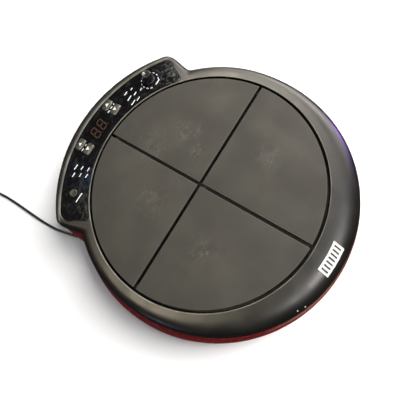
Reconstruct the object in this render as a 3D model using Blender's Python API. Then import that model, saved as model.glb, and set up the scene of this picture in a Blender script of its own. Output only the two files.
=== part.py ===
"""Electronic drum pad: four quadrant pads in a round case with a control panel at the rear.

Metres, +Z up, and the player sits on the -Y side. The origin is on the surface the pad
stands on, under the middle of the case. The round playing surface, about which everything
is laid out, is centred at (0, PAD_CENTRE_Y).
"""

import math

import bmesh
import bpy
from mathutils import Matrix, Vector

# ---- driving dimensions ----------------------------------------------------------------

PAD_CENTRE_Y = -0.009  # centre of the playing surface, from the middle of the case

PAD_TOP = 0.0580  # playing surface above the table
PAD_RADIUS = 0.127  # a 10 inch playing surface
GROOVE = 0.0024  # gap between neighbouring pads
RUBBER_BOTTOM = 0.0540
PLATE_TOP = 0.0537
PLATE_BOTTOM = 0.0510
PIEZO_THICKNESS = 0.0007
PIEZO_RADIUS = 0.0135
PIEZO_PLACE = 0.051  # along X and Y from the pads' common corner

FIT_GAP = 0.0003  # left between pieces that touch
CUSHION_RADIUS = 0.1220
CUSHION_GAP = 0.0040  # from the axes to a cushion's straight sides
CUSHION_HOLE = 0.0170  # round clearance in each cushion for its sensor

RIM_TOP = 0.0575
ROOF = 0.0030  # thickness of the top shell's flat
WALL = 0.0030
WELL_RADIUS = 0.1293  # round well that holds the pads
WELL_WALL = 0.0020
WELL_BOTTOM = 0.0470
SEAM_Z = 0.0400  # where the top shell meets the bottom shell
LIP_Z = 0.0210  # the bottom shell's widest level, below which it curves in to its base
BASE_Z = 0.0035  # underside of the bottom shell
BOWL_INSET = 0.040  # from the lip in to the flat base
SHOULDER_POWER = 2.5  # superellipse exponent of the rim's rounding
WELL_CHAMFER = 0.0006

DECK_TOP = WELL_BOTTOM - FIT_GAP
DECK_THICKNESS = 0.0030
DECK_BOTTOM = DECK_TOP - DECK_THICKNESS
DECK_RADIUS = 0.1315

BULGE_HALF_ANGLE = 44.0  # degrees either side of the rear that the panel bulge keeps its width
NOTCH_HALF_ANGLE = 53.5  # where the bulge has died away into the round rim

INLAY_OUTER = 0.1668
INLAY_INNER = 0.1318
INLAY_HALF_ANGLE = 45.0
INLAY_CORNERS = (0.0042, 0.0100)  # rounding at its inner and outer ends
INLAY_TOP = 0.0572
INLAY_THICKNESS = 0.0007
INLAY_BOTTOM = INLAY_TOP - INLAY_THICKNESS
RECESS_FLOOR = INLAY_BOTTOM - FIT_GAP
PANEL_CUT = (0.0500, 0.0620)  # cutters through the panel run between these levels

KEY_COLUMN = 0.0290  # the keys stand at plus and minus this in X
KEY_ROWS = (("up", 0.1572), ("down", 0.1438))
KEY_SIZE = (0.0150, 0.0100)
KEY_CORNER = 0.0020
KEY_TOP = 0.0590
STEM_BOTTOM = 0.0502  # keys and power button: stem, then flange, then cap
FLANGE_BOTTOM = 0.0529
FLANGE_TOP = 0.0541
DISPLAY_PLACE = (-0.0010, 0.1485)
WINDOW_SIZE = (0.0310, 0.0220)
WINDOW_OPENING = (0.0284, 0.0200)  # hole in the top shell behind the window
DISPLAY_SIZE = (0.0250, 0.0190)
BUTTON_PLACE = (-0.0815, 0.1265)
BUTTON_RADIUS = 0.0048
KNOB_PLACE = (0.0805, 0.1260)
KNOB_RADIUS = 0.0068
KNOB_TOP = 0.0705
SHAFT_RADIUS = 0.0027
SHAFT_HOLE = 0.0036

BOARD_TOP = 0.0452  # control board under the panel
BOARD_THICKNESS = 0.0016
MAIN_BOARD_TOP = 0.0126
MAIN_BOARD_SIZE = (0.1200, 0.0740)
MAIN_BOARD_MIDDLE = (0.0, 0.1050)

BAY_Y = 0.1570  # wall of the recess that holds the sockets
BAY_HALF_WIDTH = 0.072
BAY_HEIGHTS = (0.0085, 0.0290)
SOCKET_Z = 0.0196
SOCKET_PITCH = 0.0155
SOCKET_SLEEVE = 0.0045
POWER_SLEEVE = 0.0041

DC_ANGLE = 142.0  # degrees, direction in which the power socket faces
DC_Z = 0.0110
DC_WALL = 0.1160  # distance of its recess's back wall from the pads' centre
DC_RECESS_WIDTH = 0.0180
DC_RECESS_TOP = 0.0200

POST_PLACES = [(x, y) for x in (-0.100, 0.100) for y in (-0.040, 0.040)]
POST_RADIUS = 0.0055
POST_SHOULDER = 0.0350  # inside a post, where its screw's head bears
SCREW_HEAD = (0.0028, 0.0024)  # radius and height
SCREW_RADIUS = 0.0014
SCREW_HOLE = 0.0018
SCREW_HEAD_HOLE = 0.0036
FOOT_PLACES = [(x, y) for x in (-0.068, 0.068) for y in (-0.068, 0.068)]

CORD_RADIUS = 0.0016
CORD_REST_Z = CORD_RADIUS + 0.0001  # the cord's middle where it lies on the table
COIL_CENTRE = (-0.1733, 0.2990)
COIL_RADIUS = 0.0185  # to the middle of the turns
COIL_HALF_WIDTH = 0.0064
COIL_HEIGHT = 0.0100
ADAPTER_SIZE = (0.0460, 0.0560, 0.0340)
ADAPTER_CENTRE = (-0.1500, 0.3700)
ADAPTER_CORD_Z = 0.0080

# The lead's free run, from the plug along the table to the coil: x, y and z.
CORD_ROUTE = [
    (-0.1144, 0.0894, DC_Z),
    (-0.1178, 0.0920, 0.0107),
    (-0.1213, 0.0960, 0.0090),
    (-0.1242, 0.1015, 0.0058),
    (-0.1267, 0.1085, 0.0030),
    (-0.1290, 0.1165, 0.0018),
    (-0.1313, 0.1250, CORD_REST_Z),
    (-0.1343, 0.1350, CORD_REST_Z),
    (-0.1376, 0.1470, CORD_REST_Z),
    (-0.1404, 0.1590, CORD_REST_Z),
    (-0.1422, 0.1720, CORD_REST_Z),
    (-0.1434, 0.1870, CORD_REST_Z),
    (-0.1441, 0.2030, CORD_REST_Z),
    (-0.1445, 0.2200, CORD_REST_Z),
    (-0.1450, 0.2370, CORD_REST_Z),
    (-0.1458, 0.2530, CORD_REST_Z),
    (-0.1470, 0.2670, CORD_REST_Z),
    (-0.1485, 0.2775, CORD_REST_Z),
    (-0.1497, 0.2865, CORD_REST_Z),
]

# From the coil to the adapter's strain relief.
ADAPTER_ROUTE = [
    (-0.1497, 0.3116, 0.0024),
    (-0.1500, 0.3180, 0.0040),
    (-0.1500, 0.3230, 0.0068),
    (-0.1500, 0.3285, ADAPTER_CORD_Z),
]


# ---- outlines --------------------------------------------------------------------------


def case_outline(side, front, rear, rear_end, widen=0.0):
    """Radius of the case against the angle: a disc, deeper at the front, with a rear bulge."""

    def radius(angle):
        disc = side + (front - side) * max(0.0, -math.sin(angle)) ** 1.5
        off = abs(math.degrees(math.remainder(angle - math.pi / 2, math.tau)))
        bulge = rear - (rear - rear_end) * (off / BULGE_HALF_ANGLE) ** 2
        gone = (off - BULGE_HALF_ANGLE - widen) / (NOTCH_HALF_ANGLE - BULGE_HALF_ANGLE)
        gone = min(1.0, max(0.0, gone))
        share = 1.0 - gone * gone * (3.0 - 2.0 * gone)
        return disc + (bulge - disc) * share

    return radius


def inset(outline, amount):
    return lambda angle: outline(angle) - amount


def between(first, second, share):
    return lambda angle: first(angle) + (second(angle) - first(angle)) * share


def round_outline(radius):
    return lambda angle: radius


FLAT = case_outline(0.134, 0.134, 0.1720, 0.1700, widen=-2.0)  # edge of the rim's flat
SEAM = case_outline(0.1475, 0.1600, 0.1800, 0.1755, widen=-0.8)  # outside of the top shell
LIP = case_outline(0.1600, 0.1648, 0.1820, 0.1780, widen=0.6)  # widest part of the bottom


def case_angles():
    """Angles round the case, closer together where the bulge meets the round rim."""
    angles = []
    degrees = 0.0
    while degrees < 359.9:
        angles.append(math.radians(degrees))
        off = abs((degrees - 90.0 + 180.0) % 360.0 - 180.0)
        degrees += 3.0 if BULGE_HALF_ANGLE - 6 <= off < NOTCH_HALF_ANGLE + 2 else 6.0
    return angles


ANGLES = case_angles()


def case_ring(outline, z):
    return [Vector((outline(a) * math.cos(a), outline(a) * math.sin(a), z)) for a in ANGLES]


def circle(radius, z, sides=16, centre=(0.0, 0.0)):
    turns = [math.tau * k / sides for k in range(sides)]
    return [
        Vector((centre[0] + radius * math.cos(a), centre[1] + radius * math.sin(a), z))
        for a in turns
    ]


def rounded_rectangle(width, depth, corner, z, centre=(0.0, 0.0), steps=2):
    points = []
    for quarter, (sx, sy) in enumerate(((1, 1), (-1, 1), (-1, -1), (1, -1))):
        middle_x = centre[0] + sx * (width / 2 - corner)
        middle_y = centre[1] + sy * (depth / 2 - corner)
        for k in range(steps + 1):
            a = math.radians(90.0 * (quarter + k / steps))
            points.append(
                Vector((middle_x + corner * math.cos(a), middle_y + corner * math.sin(a), z))
            )
    return points


def quadrant(radius, gap, z, steps=18):
    """A quarter disc in the +X +Y quadrant, its straight sides gap away from the axes."""
    reach = math.asin(gap / radius)
    points = [Vector((gap, gap, z))]
    for k in range(steps + 1):
        a = reach + (math.pi / 2 - 2 * reach) * k / steps
        points.append(Vector((radius * math.cos(a), radius * math.sin(a), z)))
    return points


def rounded_sector(inner, outer, half_angle, corners, z):
    """A ring sector about +Y. corners are the rounding radii at its inner and outer ends."""
    inner_corner, outer_corner = corners
    points = []

    def add_arc(centre, radius, start, end, steps):
        for k in range(steps + 1):
            a = math.radians(start + (end - start) * k / steps)
            points.append(
                Vector((centre[0] + radius * math.cos(a), centre[1] + radius * math.sin(a), z))
            )

    def corner_middle(distance, radius, side):
        off = half_angle - math.degrees(math.asin(radius / distance))
        a = 90.0 + side * off
        middle = (distance * math.cos(math.radians(a)), distance * math.sin(math.radians(a)))
        return middle, a

    right_outer, right_a = corner_middle(outer - outer_corner, outer_corner, -1)
    left_outer, left_a = corner_middle(outer - outer_corner, outer_corner, 1)
    right_inner, right_b = corner_middle(inner + inner_corner, inner_corner, -1)
    left_inner, left_b = corner_middle(inner + inner_corner, inner_corner, 1)
    right_end = 90.0 - half_angle
    left_end = 90.0 + half_angle
    add_arc(right_outer, outer_corner, right_end - 90.0, right_a, 4)
    add_arc((0, 0), outer, right_a + 3, left_a - 3, 15)
    add_arc(left_outer, outer_corner, left_a, left_end + 90.0, 4)
    add_arc(left_inner, inner_corner, left_end + 90.0, left_b + 180.0, 3)
    add_arc((0, 0), inner, left_b - 3, right_b + 3, 15)
    add_arc(right_inner, inner_corner, right_b - 180.0, right_end - 90.0, 3)
    return points


# ---- meshes and objects ----------------------------------------------------------------


def clear_scene():
    for obj in list(bpy.data.objects):
        bpy.data.objects.remove(obj, do_unlink=True)


def material(name, colour, roughness, metallic=0.0):
    made = bpy.data.materials.new(name)
    made.use_nodes = True
    shader = made.node_tree.nodes["Principled BSDF"]
    shader.inputs["Base Color"].default_value = (*colour, 1.0)
    shader.inputs["Roughness"].default_value = roughness
    shader.inputs["Metallic"].default_value = metallic
    return made


def loft_into(mesh, rings, wrap=False):
    """Adds to a bmesh the skin through rings of equal length, with flat ends unless it wraps."""
    made = [[mesh.verts.new(point) for point in ring] for ring in rings]
    pairs = list(zip(made, made[1:]))
    if wrap:
        pairs.append((made[-1], made[0]))
    else:
        mesh.faces.new(reversed(made[0]))
        mesh.faces.new(made[-1])
    count = len(made[0])
    for low, high in pairs:
        for k in range(count):
            after = (k + 1) % count
            mesh.faces.new((low[k], low[after], high[after], high[k]))


def mesh_of(name, solids, wrap=False):
    """A mesh with one closed body for each list of rings in solids."""
    work = bmesh.new()
    for rings in solids:
        loft_into(work, rings, wrap)
    bmesh.ops.recalc_face_normals(work, faces=work.faces[:])
    data = bpy.data.meshes.new(name)
    work.to_mesh(data)
    work.free()
    return data


def place(name, data, finish, at=(0.0, 0.0, 0.0), turn=0.0, parent=None):
    obj = bpy.data.objects.new(name, data)
    bpy.context.scene.collection.objects.link(obj)
    obj.parent = parent or bpy.data.objects["pad_centre"]
    obj.location = at
    obj.rotation_euler = (0.0, 0.0, turn)
    if finish and not data.materials:
        data.materials.append(finish)
    if obj.type == "MESH":
        data.shade_smooth()
        data.set_sharp_from_angle(angle=math.radians(32))
    return obj


def piece(name, rings, finish, at=(0.0, 0.0, 0.0), turn=0.0, parent=None, wrap=False):
    return place(name, mesh_of(name, [rings], wrap), finish, at, turn, parent)


def cutter(name, solids):
    obj = place(name, mesh_of(name, solids), None)
    obj.hide_render = True
    obj.display_type = "WIRE"
    return obj


def combine(obj, other, operation):
    step = obj.modifiers.new(other.name, "BOOLEAN")
    step.operation = operation
    step.solver = "EXACT"
    step.object = other


def box(low, high):
    size = [b - a for a, b in zip(low, high)]
    centre = ((low[0] + high[0]) / 2, (low[1] + high[1]) / 2)
    corners = [(-1, -1), (1, -1), (1, 1), (-1, 1)]
    return [
        [
            Vector((centre[0] + sx * size[0] / 2, centre[1] + sy * size[1] / 2, z))
            for sx, sy in corners
        ]
        for z in (low[2], high[2])
    ]


def turned(rings, matrix):
    return [[matrix @ point for point in ring] for ring in rings]


def lathe(profile, sides=16, centre=(0.0, 0.0)):
    """Rings for a turned solid from (radius, z) pairs."""
    return [circle(radius, z, sides, centre) for radius, z in profile]


def joint_empty(name, at):
    empty = bpy.data.objects.new(name, None)
    bpy.context.scene.collection.objects.link(empty)
    empty.parent = bpy.data.objects.get("pad_centre")
    empty.location = at
    return empty


# ---- case ------------------------------------------------------------------------------


def shoulder_share(share):
    """Drop of the rim's rounding, 0 to 1, at a share of the way from its flat to the seam."""
    return 1.0 - (1.0 - share**SHOULDER_POWER) ** (1.0 / SHOULDER_POWER)


def shoulder(flat, edge, top, bottom, steps):
    rings = []
    for k in range(steps + 1):
        a = math.pi / 2 * k / steps
        across = math.sin(a) ** (2.0 / SHOULDER_POWER)
        z = top - (top - bottom) * shoulder_share(across)
        rings.append(case_ring(between(flat, edge, across), z))
    return rings


def panel_holes(clearance):
    """Prisms through the panel for the keys, the power button and the volume shaft."""
    solids = []
    for side in (-1, 1):
        for _, row in KEY_ROWS:
            wide, deep = (size + 2 * clearance for size in KEY_SIZE)
            key = (side * KEY_COLUMN, row)
            corner = KEY_CORNER + clearance / 2
            solids.append([rounded_rectangle(wide, deep, corner, z, key) for z in PANEL_CUT])
    for centre, radius in ((BUTTON_PLACE, BUTTON_RADIUS), (KNOB_PLACE, SHAFT_HOLE)):
        solids.append(lathe([(radius + clearance, z) for z in PANEL_CUT], 16, centre))
    return solids


def top_shell(finish):
    rings = [
        case_ring(round_outline(WELL_RADIUS), WELL_BOTTOM),
        case_ring(round_outline(WELL_RADIUS), RIM_TOP - WELL_CHAMFER),
        case_ring(round_outline(WELL_RADIUS + WELL_CHAMFER), RIM_TOP),
    ]
    rings += shoulder(FLAT, SEAM, RIM_TOP, SEAM_Z, 5)
    inside = shoulder(inset(FLAT, 0.0015), inset(SEAM, WALL), RIM_TOP - ROOF, SEAM_Z, 3)
    rings += reversed(inside)
    outer_well = round_outline(WELL_RADIUS + WELL_WALL)
    rings += [case_ring(outer_well, RIM_TOP - ROOF), case_ring(outer_well, WELL_BOTTOM)]
    shell = piece("top_shell", rings, finish, wrap=True)

    inner, outer = INLAY_INNER - FIT_GAP, INLAY_OUTER + FIT_GAP
    half_angle = INLAY_HALF_ANGLE + math.degrees(FIT_GAP / INLAY_INNER)
    corners = [corner + FIT_GAP for corner in INLAY_CORNERS]
    recess_levels = (RECESS_FLOOR, PANEL_CUT[1])
    sector = [rounded_sector(inner, outer, half_angle, corners, z) for z in recess_levels]
    combine(shell, cutter("cut_panel_recess", [sector]), "DIFFERENCE")
    window = [rounded_rectangle(*WINDOW_OPENING, 0.001, z, DISPLAY_PLACE) for z in PANEL_CUT]
    combine(shell, cutter("cut_panel_holes", panel_holes(0.0005) + [window]), "DIFFERENCE")


def bowl(outline, low, inset_at_base, steps):
    """Rings of the bottom shell from its flat base up to its lip, a quarter ellipse."""
    rings = []
    for k in range(steps + 1):
        a = math.pi / 2 * k / steps
        z = LIP_Z - (LIP_Z - low) * math.cos(a)
        rings.append(case_ring(inset(outline, inset_at_base * (1.0 - math.sin(a))), z))
    return rings


def dc_frame():
    """Matrix whose +X runs out of the power socket from the pads' centre."""
    return Matrix.Rotation(math.radians(DC_ANGLE), 4, "Z") @ Matrix.Translation((0, 0, DC_Z))


def sleeve_hole(sleeve):
    """Profile of the hole that a socket's sleeve passes through."""
    return ((sleeve + FIT_GAP, -2 * WALL), (sleeve + FIT_GAP, 2 * WALL))


def bottom_shell(finish):
    outside = bowl(LIP, BASE_Z, BOWL_INSET, 6) + [case_ring(SEAM, SEAM_Z - FIT_GAP)]
    shell = piece("bottom_shell", outside, finish)

    inner_lip, inner_seam = inset(LIP, WALL), inset(SEAM, WALL)
    inside = bowl(inner_lip, BASE_Z + WALL, BOWL_INSET, 3)
    inside += [case_ring(inner_seam, SEAM_Z - WALL), case_ring(inner_seam, SEAM_Z + WALL)]
    hollow = cutter("cut_inside", [inside])

    low, high = BAY_HEIGHTS
    bay = box((-BAY_HALF_WIDTH, BAY_Y, low), (BAY_HALF_WIDTH, 0.20, high))
    bay_wall = box(
        (-BAY_HALF_WIDTH - WALL, BAY_Y - WALL, low - WALL - 0.001),
        (BAY_HALF_WIDTH + WALL, 0.21, high + WALL),
    )
    half, above = DC_RECESS_WIDTH / 2, DC_RECESS_TOP - DC_Z
    recess = turned(box((DC_WALL, -half, -0.02), (0.20, half, above)), dc_frame())
    recess_wall = turned(
        box((DC_WALL - WALL, -half - WALL, -0.02), (0.21, half + WALL, above + WALL)),
        dc_frame(),
    )
    combine(hollow, cutter("keep_socket_wall", [bay_wall]), "DIFFERENCE")
    combine(hollow, cutter("keep_power_wall", [recess_wall]), "DIFFERENCE")
    combine(shell, cutter("cut_socket_bay", [bay]), "DIFFERENCE")
    combine(shell, cutter("cut_power_recess", [recess]), "DIFFERENCE")
    combine(shell, hollow, "DIFFERENCE")

    in_floor = BASE_Z + WALL / 2
    post = ((POST_RADIUS, in_floor), (POST_RADIUS, DECK_BOTTOM - FIT_GAP))
    posts = [lathe(post, 12, at) for at in POST_PLACES]
    boss_radius, boss_top = 0.003, MAIN_BOARD_TOP - BOARD_THICKNESS - FIT_GAP
    boss_x, boss_y = (size / 2 - 0.006 for size in MAIN_BOARD_SIZE)
    bosses = [
        lathe(((boss_radius, in_floor), (boss_radius, boss_top)), 10, (x, y))
        for x in (-boss_x, boss_x)
        for y in (MAIN_BOARD_MIDDLE[1] - boss_y, MAIN_BOARD_MIDDLE[1] + boss_y)
    ]
    combine(shell, cutter("add_posts", posts + bosses), "UNION")

    screw_bore = (
        (SCREW_HEAD_HOLE, -0.001),
        (SCREW_HEAD_HOLE, POST_SHOULDER),
        (SCREW_HOLE, POST_SHOULDER),
        (SCREW_HOLE, DECK_TOP + 0.001),
    )
    bores = [lathe(screw_bore, 10, at) for at in POST_PLACES]
    for x in socket_columns():
        across = Matrix.Translation((x, BAY_Y, SOCKET_Z)) @ Matrix.Rotation(math.pi / 2, 4, "X")
        bores.append(turned(lathe(sleeve_hole(SOCKET_SLEEVE)), across))
    out = dc_frame() @ Matrix.Translation((DC_WALL, 0, 0)) @ Matrix.Rotation(math.pi / 2, 4, "Y")
    bores.append(turned(lathe(sleeve_hole(POWER_SLEEVE)), out))
    combine(shell, cutter("cut_bores", bores), "DIFFERENCE")


def pad_deck(finish):
    disc = ((DECK_RADIUS, DECK_BOTTOM), (DECK_RADIUS, DECK_TOP))
    deck = piece("pad_deck", lathe(disc, 40), finish)
    low, high = DECK_BOTTOM - 0.001, DECK_TOP + 0.001
    holes = [lathe(((SCREW_HOLE, low), (SCREW_HOLE, high)), 10, at) for at in POST_PLACES]
    wire_hole = 0.010
    for x in (-PIEZO_PLACE, PIEZO_PLACE):
        for y in (-PIEZO_PLACE, PIEZO_PLACE):
            holes.append(lathe(((wire_hole, low), (wire_hole, high)), 16, (x, y)))
    combine(deck, cutter("cut_deck_holes", holes), "DIFFERENCE")


def emblem_plate(finish):
    """A thin plate laid on the slope of the front rim, lofted from side to side."""
    half_width, near, far, columns, rows = 0.0175, 0.1415, 0.1530, 6, 3

    def surface(x, reach, lift):
        angle = -math.pi / 2 + x / reach
        share = (reach - FLAT(angle)) / (SEAM(angle) - FLAT(angle))
        z = RIM_TOP - (RIM_TOP - SEAM_Z) * shoulder_share(share) + lift
        return Vector((reach * math.cos(angle), reach * math.sin(angle), z))

    reaches = [near + (far - near) * k / rows for k in range(rows + 1)]
    sections = []
    for k in range(columns + 1):
        x = -half_width + 2 * half_width * k / columns
        section = [surface(x, reach, 0.0004) for reach in reaches]
        section += [surface(x, reach, 0.0010) for reach in reversed(reaches)]
        sections.append(section)
    piece("emblem_plate", sections, finish)


# ---- playing surface -------------------------------------------------------------------


def pads(rubber, steel, brass, foam):
    """Four alike quadrants, each turned a quarter round the pads' common corner."""
    names = ("rear_right", "rear_left", "front_left", "front_right")
    top = [
        quadrant(PAD_RADIUS, GROOVE / 2, RUBBER_BOTTOM),
        quadrant(PAD_RADIUS, GROOVE / 2, PAD_TOP - 0.0009),
        quadrant(PAD_RADIUS - 0.0003, GROOVE / 2 + 0.0003, PAD_TOP - 0.0003),
        quadrant(PAD_RADIUS - 0.0009, GROOVE / 2 + 0.0009, PAD_TOP),
    ]
    plate = [quadrant(PAD_RADIUS - 0.0015, 0.0025, z) for z in (PLATE_BOTTOM, PLATE_TOP)]
    piezo_at = (PIEZO_PLACE, PIEZO_PLACE)
    piezo_top = PLATE_BOTTOM - FIT_GAP
    piezo = lathe(
        ((PIEZO_RADIUS, piezo_top - PIEZO_THICKNESS), (PIEZO_RADIUS, piezo_top)), 16, piezo_at
    )
    cushion_levels = (DECK_TOP + FIT_GAP, PLATE_BOTTOM - FIT_GAP)
    cushion = [quadrant(CUSHION_RADIUS, CUSHION_GAP, z, 14) for z in cushion_levels]
    hole = [circle(CUSHION_HOLE, z, 14, piezo_at) for z in (DECK_BOTTOM, RUBBER_BOTTOM)]

    rubber_mesh = mesh_of("pad", [top])
    plate_mesh = mesh_of("pad_plate", [plate])
    piezo_mesh = mesh_of("piezo", [piezo])
    cushion_mesh = mesh_of("cushion", [cushion])
    hole_mesh = mesh_of("cushion_hole", [hole])
    for k, name in enumerate(names):
        turn = k * math.pi / 2
        mover = joint_empty("pad_axis_" + name, (0.0, 0.0, 0.0))
        place("pad_" + name, rubber_mesh, rubber, turn=turn, parent=mover)
        place("pad_plate_" + name, plate_mesh, steel, turn=turn, parent=mover)
        place("piezo_sensor_" + name, piezo_mesh, brass, turn=turn, parent=mover)
        soft = place("foam_cushion_" + name, cushion_mesh, foam, turn=turn)
        opening = place("cut_cushion_" + name, hole_mesh, None, turn=turn)
        opening.hide_render = True
        opening.display_type = "WIRE"
        combine(soft, opening, "DIFFERENCE")


# ---- control panel ---------------------------------------------------------------------


def panel_inlay(finish, tinted):
    sector = [
        rounded_sector(INLAY_INNER, INLAY_OUTER, INLAY_HALF_ANGLE, INLAY_CORNERS, z)
        for z in (INLAY_BOTTOM, INLAY_TOP)
    ]
    inlay = piece("panel_inlay", sector, finish)
    holes = panel_holes(0.0004)
    wide, deep = (size + 2 * FIT_GAP for size in WINDOW_SIZE)
    holes.append([rounded_rectangle(wide, deep, 0.001, z, DISPLAY_PLACE) for z in PANEL_CUT])
    combine(inlay, cutter("cut_inlay_holes", holes), "DIFFERENCE")
    window = [
        rounded_rectangle(*WINDOW_SIZE, 0.0008, z, DISPLAY_PLACE)
        for z in (INLAY_BOTTOM, INLAY_TOP)
    ]
    piece("display_window", window, tinted)


def display_module(finish):
    """Two-digit block, 25 x 19 mm, standing on the control board."""
    block = [
        rounded_rectangle(*DISPLAY_SIZE, 0.0005, z, DISPLAY_PLACE)
        for z in (BOARD_TOP + FIT_GAP, RECESS_FLOOR - 0.0006)
    ]
    piece("display_module", block, finish)


def keys(silver, dark):
    """Up and down keys in two columns, each over its own switch on the control board."""
    width, depth = KEY_SIZE
    stem = (0.0050, 0.0050, 0.0010)
    flange = (width + 0.0030, depth + 0.0026, KEY_CORNER)
    cap = (width, depth, KEY_CORNER)
    for side, column in (("left", -KEY_COLUMN), ("right", KEY_COLUMN)):
        for row, y in KEY_ROWS:
            rings = [
                rounded_rectangle(*stem, STEM_BOTTOM),
                rounded_rectangle(*stem, FLANGE_BOTTOM),
                rounded_rectangle(*flange, FLANGE_BOTTOM),
                rounded_rectangle(*flange, FLANGE_TOP),
                rounded_rectangle(*cap, FLANGE_TOP),
                rounded_rectangle(*cap, KEY_TOP - 0.0012),
                rounded_rectangle(width - 0.0006, depth - 0.0006, KEY_CORNER, KEY_TOP - 0.0004),
                rounded_rectangle(width - 0.0022, depth - 0.0022, 0.0018, KEY_TOP),
            ]
            name = f"{side}_{row}_key"
            mover = joint_empty(name + "_axis", (column, y, 0.0))
            piece(name, rings, silver, parent=mover)
            switch = [
                rounded_rectangle(0.0060, 0.0060, 0.0004, BOARD_TOP + FIT_GAP),
                rounded_rectangle(0.0060, 0.0060, 0.0004, BOARD_TOP + 0.0030),
                rounded_rectangle(0.0034, 0.0034, 0.0012, BOARD_TOP + 0.0030),
                rounded_rectangle(0.0034, 0.0034, 0.0012, BOARD_TOP + 0.0038),
            ]
            piece(f"{side}_{row}_switch", switch, dark, at=(column, y, 0.0))


def power_control(silver, dark):
    cap, flange, stem = BUTTON_RADIUS, BUTTON_RADIUS + 0.0016, 0.0022
    profile = (
        (stem, STEM_BOTTOM),
        (stem, FLANGE_BOTTOM),
        (flange, FLANGE_BOTTOM),
        (flange, FLANGE_TOP),
        (cap, FLANGE_TOP),
        (cap, KEY_TOP - 0.0012),
        (cap - 0.0003, KEY_TOP - 0.0005),
        (cap - 0.0010, KEY_TOP - 0.0002),
        (cap - 0.0016, KEY_TOP - 0.0005),
    )
    mover = joint_empty("power_button_axis", (*BUTTON_PLACE, 0.0))
    piece("power_button", lathe(profile), silver, parent=mover)
    switch = [
        rounded_rectangle(0.0085, 0.0085, 0.0005, BOARD_TOP + FIT_GAP),
        rounded_rectangle(0.0085, 0.0085, 0.0005, BOARD_TOP + 0.0026),
        rounded_rectangle(0.0040, 0.0040, 0.0008, BOARD_TOP + 0.0026),
        rounded_rectangle(0.0040, 0.0040, 0.0008, BOARD_TOP + 0.0036),
    ]
    piece("power_switch", switch, dark, at=(*BUTTON_PLACE, 0.0))


def volume_control(black, steel, dark):
    skirt, grip = KNOB_RADIUS, KNOB_RADIUS - 0.0008
    bore = SHAFT_RADIUS + 0.0004
    bottom = INLAY_TOP + 0.0006
    profile = (
        (bore, KNOB_TOP - 0.0030),
        (bore, bottom),
        (skirt, bottom),
        (skirt, bottom + 0.0014),
        (grip, bottom + 0.0022),
        (grip - 0.0004, KNOB_TOP - 0.0010),
        (grip - 0.0014, KNOB_TOP),
    )
    mover = joint_empty("volume_knob_axis", (*KNOB_PLACE, 0.0))
    piece("volume_knob", lathe(profile, 20), black, parent=mover)
    shaft_top = KNOB_TOP - 0.0034
    body_radius, body_top = 0.0075, 0.0518
    shaft_bottom = body_top + 2 * FIT_GAP
    shaft = lathe(((SHAFT_RADIUS, shaft_bottom), (SHAFT_RADIUS, shaft_top)), 12)
    piece("volume_shaft", shaft, steel, parent=mover)
    body = lathe(((body_radius, BOARD_TOP + FIT_GAP), (body_radius, body_top)))
    piece("volume_control_body", body, dark, at=(*KNOB_PLACE, 0.0))


# ---- electronics -----------------------------------------------------------------------


def boards(green, ribbon):
    low = BOARD_TOP - BOARD_THICKNESS
    sector = [
        rounded_sector(0.1345, 0.1655, 42.0, (0.002, 0.003), z) for z in (low, BOARD_TOP)
    ]
    piece("control_board", sector, green)
    main = [
        rounded_rectangle(*MAIN_BOARD_SIZE, 0.002, z, MAIN_BOARD_MIDDLE)
        for z in (MAIN_BOARD_TOP - BOARD_THICKNESS, MAIN_BOARD_TOP)
    ]
    piece("main_board", main, green)

    half, thickness = 0.0090, 0.0008
    path = [(0.1385, low - FIT_GAP), (0.1330, 0.0370), (0.1265, 0.0290), (0.1220, 0.0200)]
    path.append((0.1210, MAIN_BOARD_TOP + FIT_GAP))
    rings = [
        [
            Vector((-half, y, z)),
            Vector((half, y, z)),
            Vector((half, y + thickness, z)),
            Vector((-half, y + thickness, z)),
        ]
        for y, z in path
    ]
    piece("board_ribbon", rings, ribbon)


def socket_columns():
    return [SOCKET_PITCH * k for k in range(-3, 4)]


def socket_rings(body, sleeve, bore, bore_depth, proud):
    """A socket lofted along +X from its back to the bottom of its bore, its wall at x = 0."""
    length, width, height = body
    face = -WALL - FIT_GAP

    def rectangle(x):
        ring = rounded_rectangle(width, height, 0.001, 0.0, steps=3)
        return [Vector((x, point.x, point.y)) for point in ring]

    def ring(radius, x):
        return [Vector((x, point.x, point.y)) for point in circle(radius, 0.0)]

    return [
        rectangle(face - length),
        rectangle(face),
        ring(sleeve, face),
        ring(sleeve, proud),
        ring(bore, proud),
        ring(bore, proud - bore_depth),
    ]


def sockets(dark):
    names = (
        "pedal_socket_a",
        "pedal_socket_b",
        "output_socket_left",
        "output_socket_right",
        "headphone_socket",
        "line_in_socket",
        "data_socket",
    )
    large = socket_rings((0.0240, 0.0144, 0.0120), SOCKET_SLEEVE, 0.0032, 0.0180, 0.0012)
    small = socket_rings((0.0130, 0.0110, 0.0120), SOCKET_SLEEVE, 0.0018, 0.0120, 0.0004)
    for name, x in zip(names, reversed(socket_columns())):
        rings = small if name in ("line_in_socket", "data_socket") else large
        matrix = Matrix.Translation((x, BAY_Y, SOCKET_Z)) @ Matrix.Rotation(math.pi / 2, 4, "Z")
        piece(name, turned(rings, matrix), dark)
    out = dc_frame() @ Matrix.Translation((DC_WALL, 0.0, 0.0))
    power = socket_rings((0.0130, 0.0110, 0.0082), POWER_SLEEVE, 0.00305, 0.0120, 0.0005)
    piece("power_socket", turned(power, out), dark)


# ---- feet and fasteners ----------------------------------------------------------------


def feet(finish):
    profile = ((0.0100, 0.0), (0.0108, 0.0006), (0.0108, BASE_Z - FIT_GAP))
    data = mesh_of("foot", [lathe(profile, 20)])
    for name, at in zip(("front_left", "rear_left", "front_right", "rear_right"), FOOT_PLACES):
        place("foot_" + name, data, finish, at=(*at, 0.0))


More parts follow.
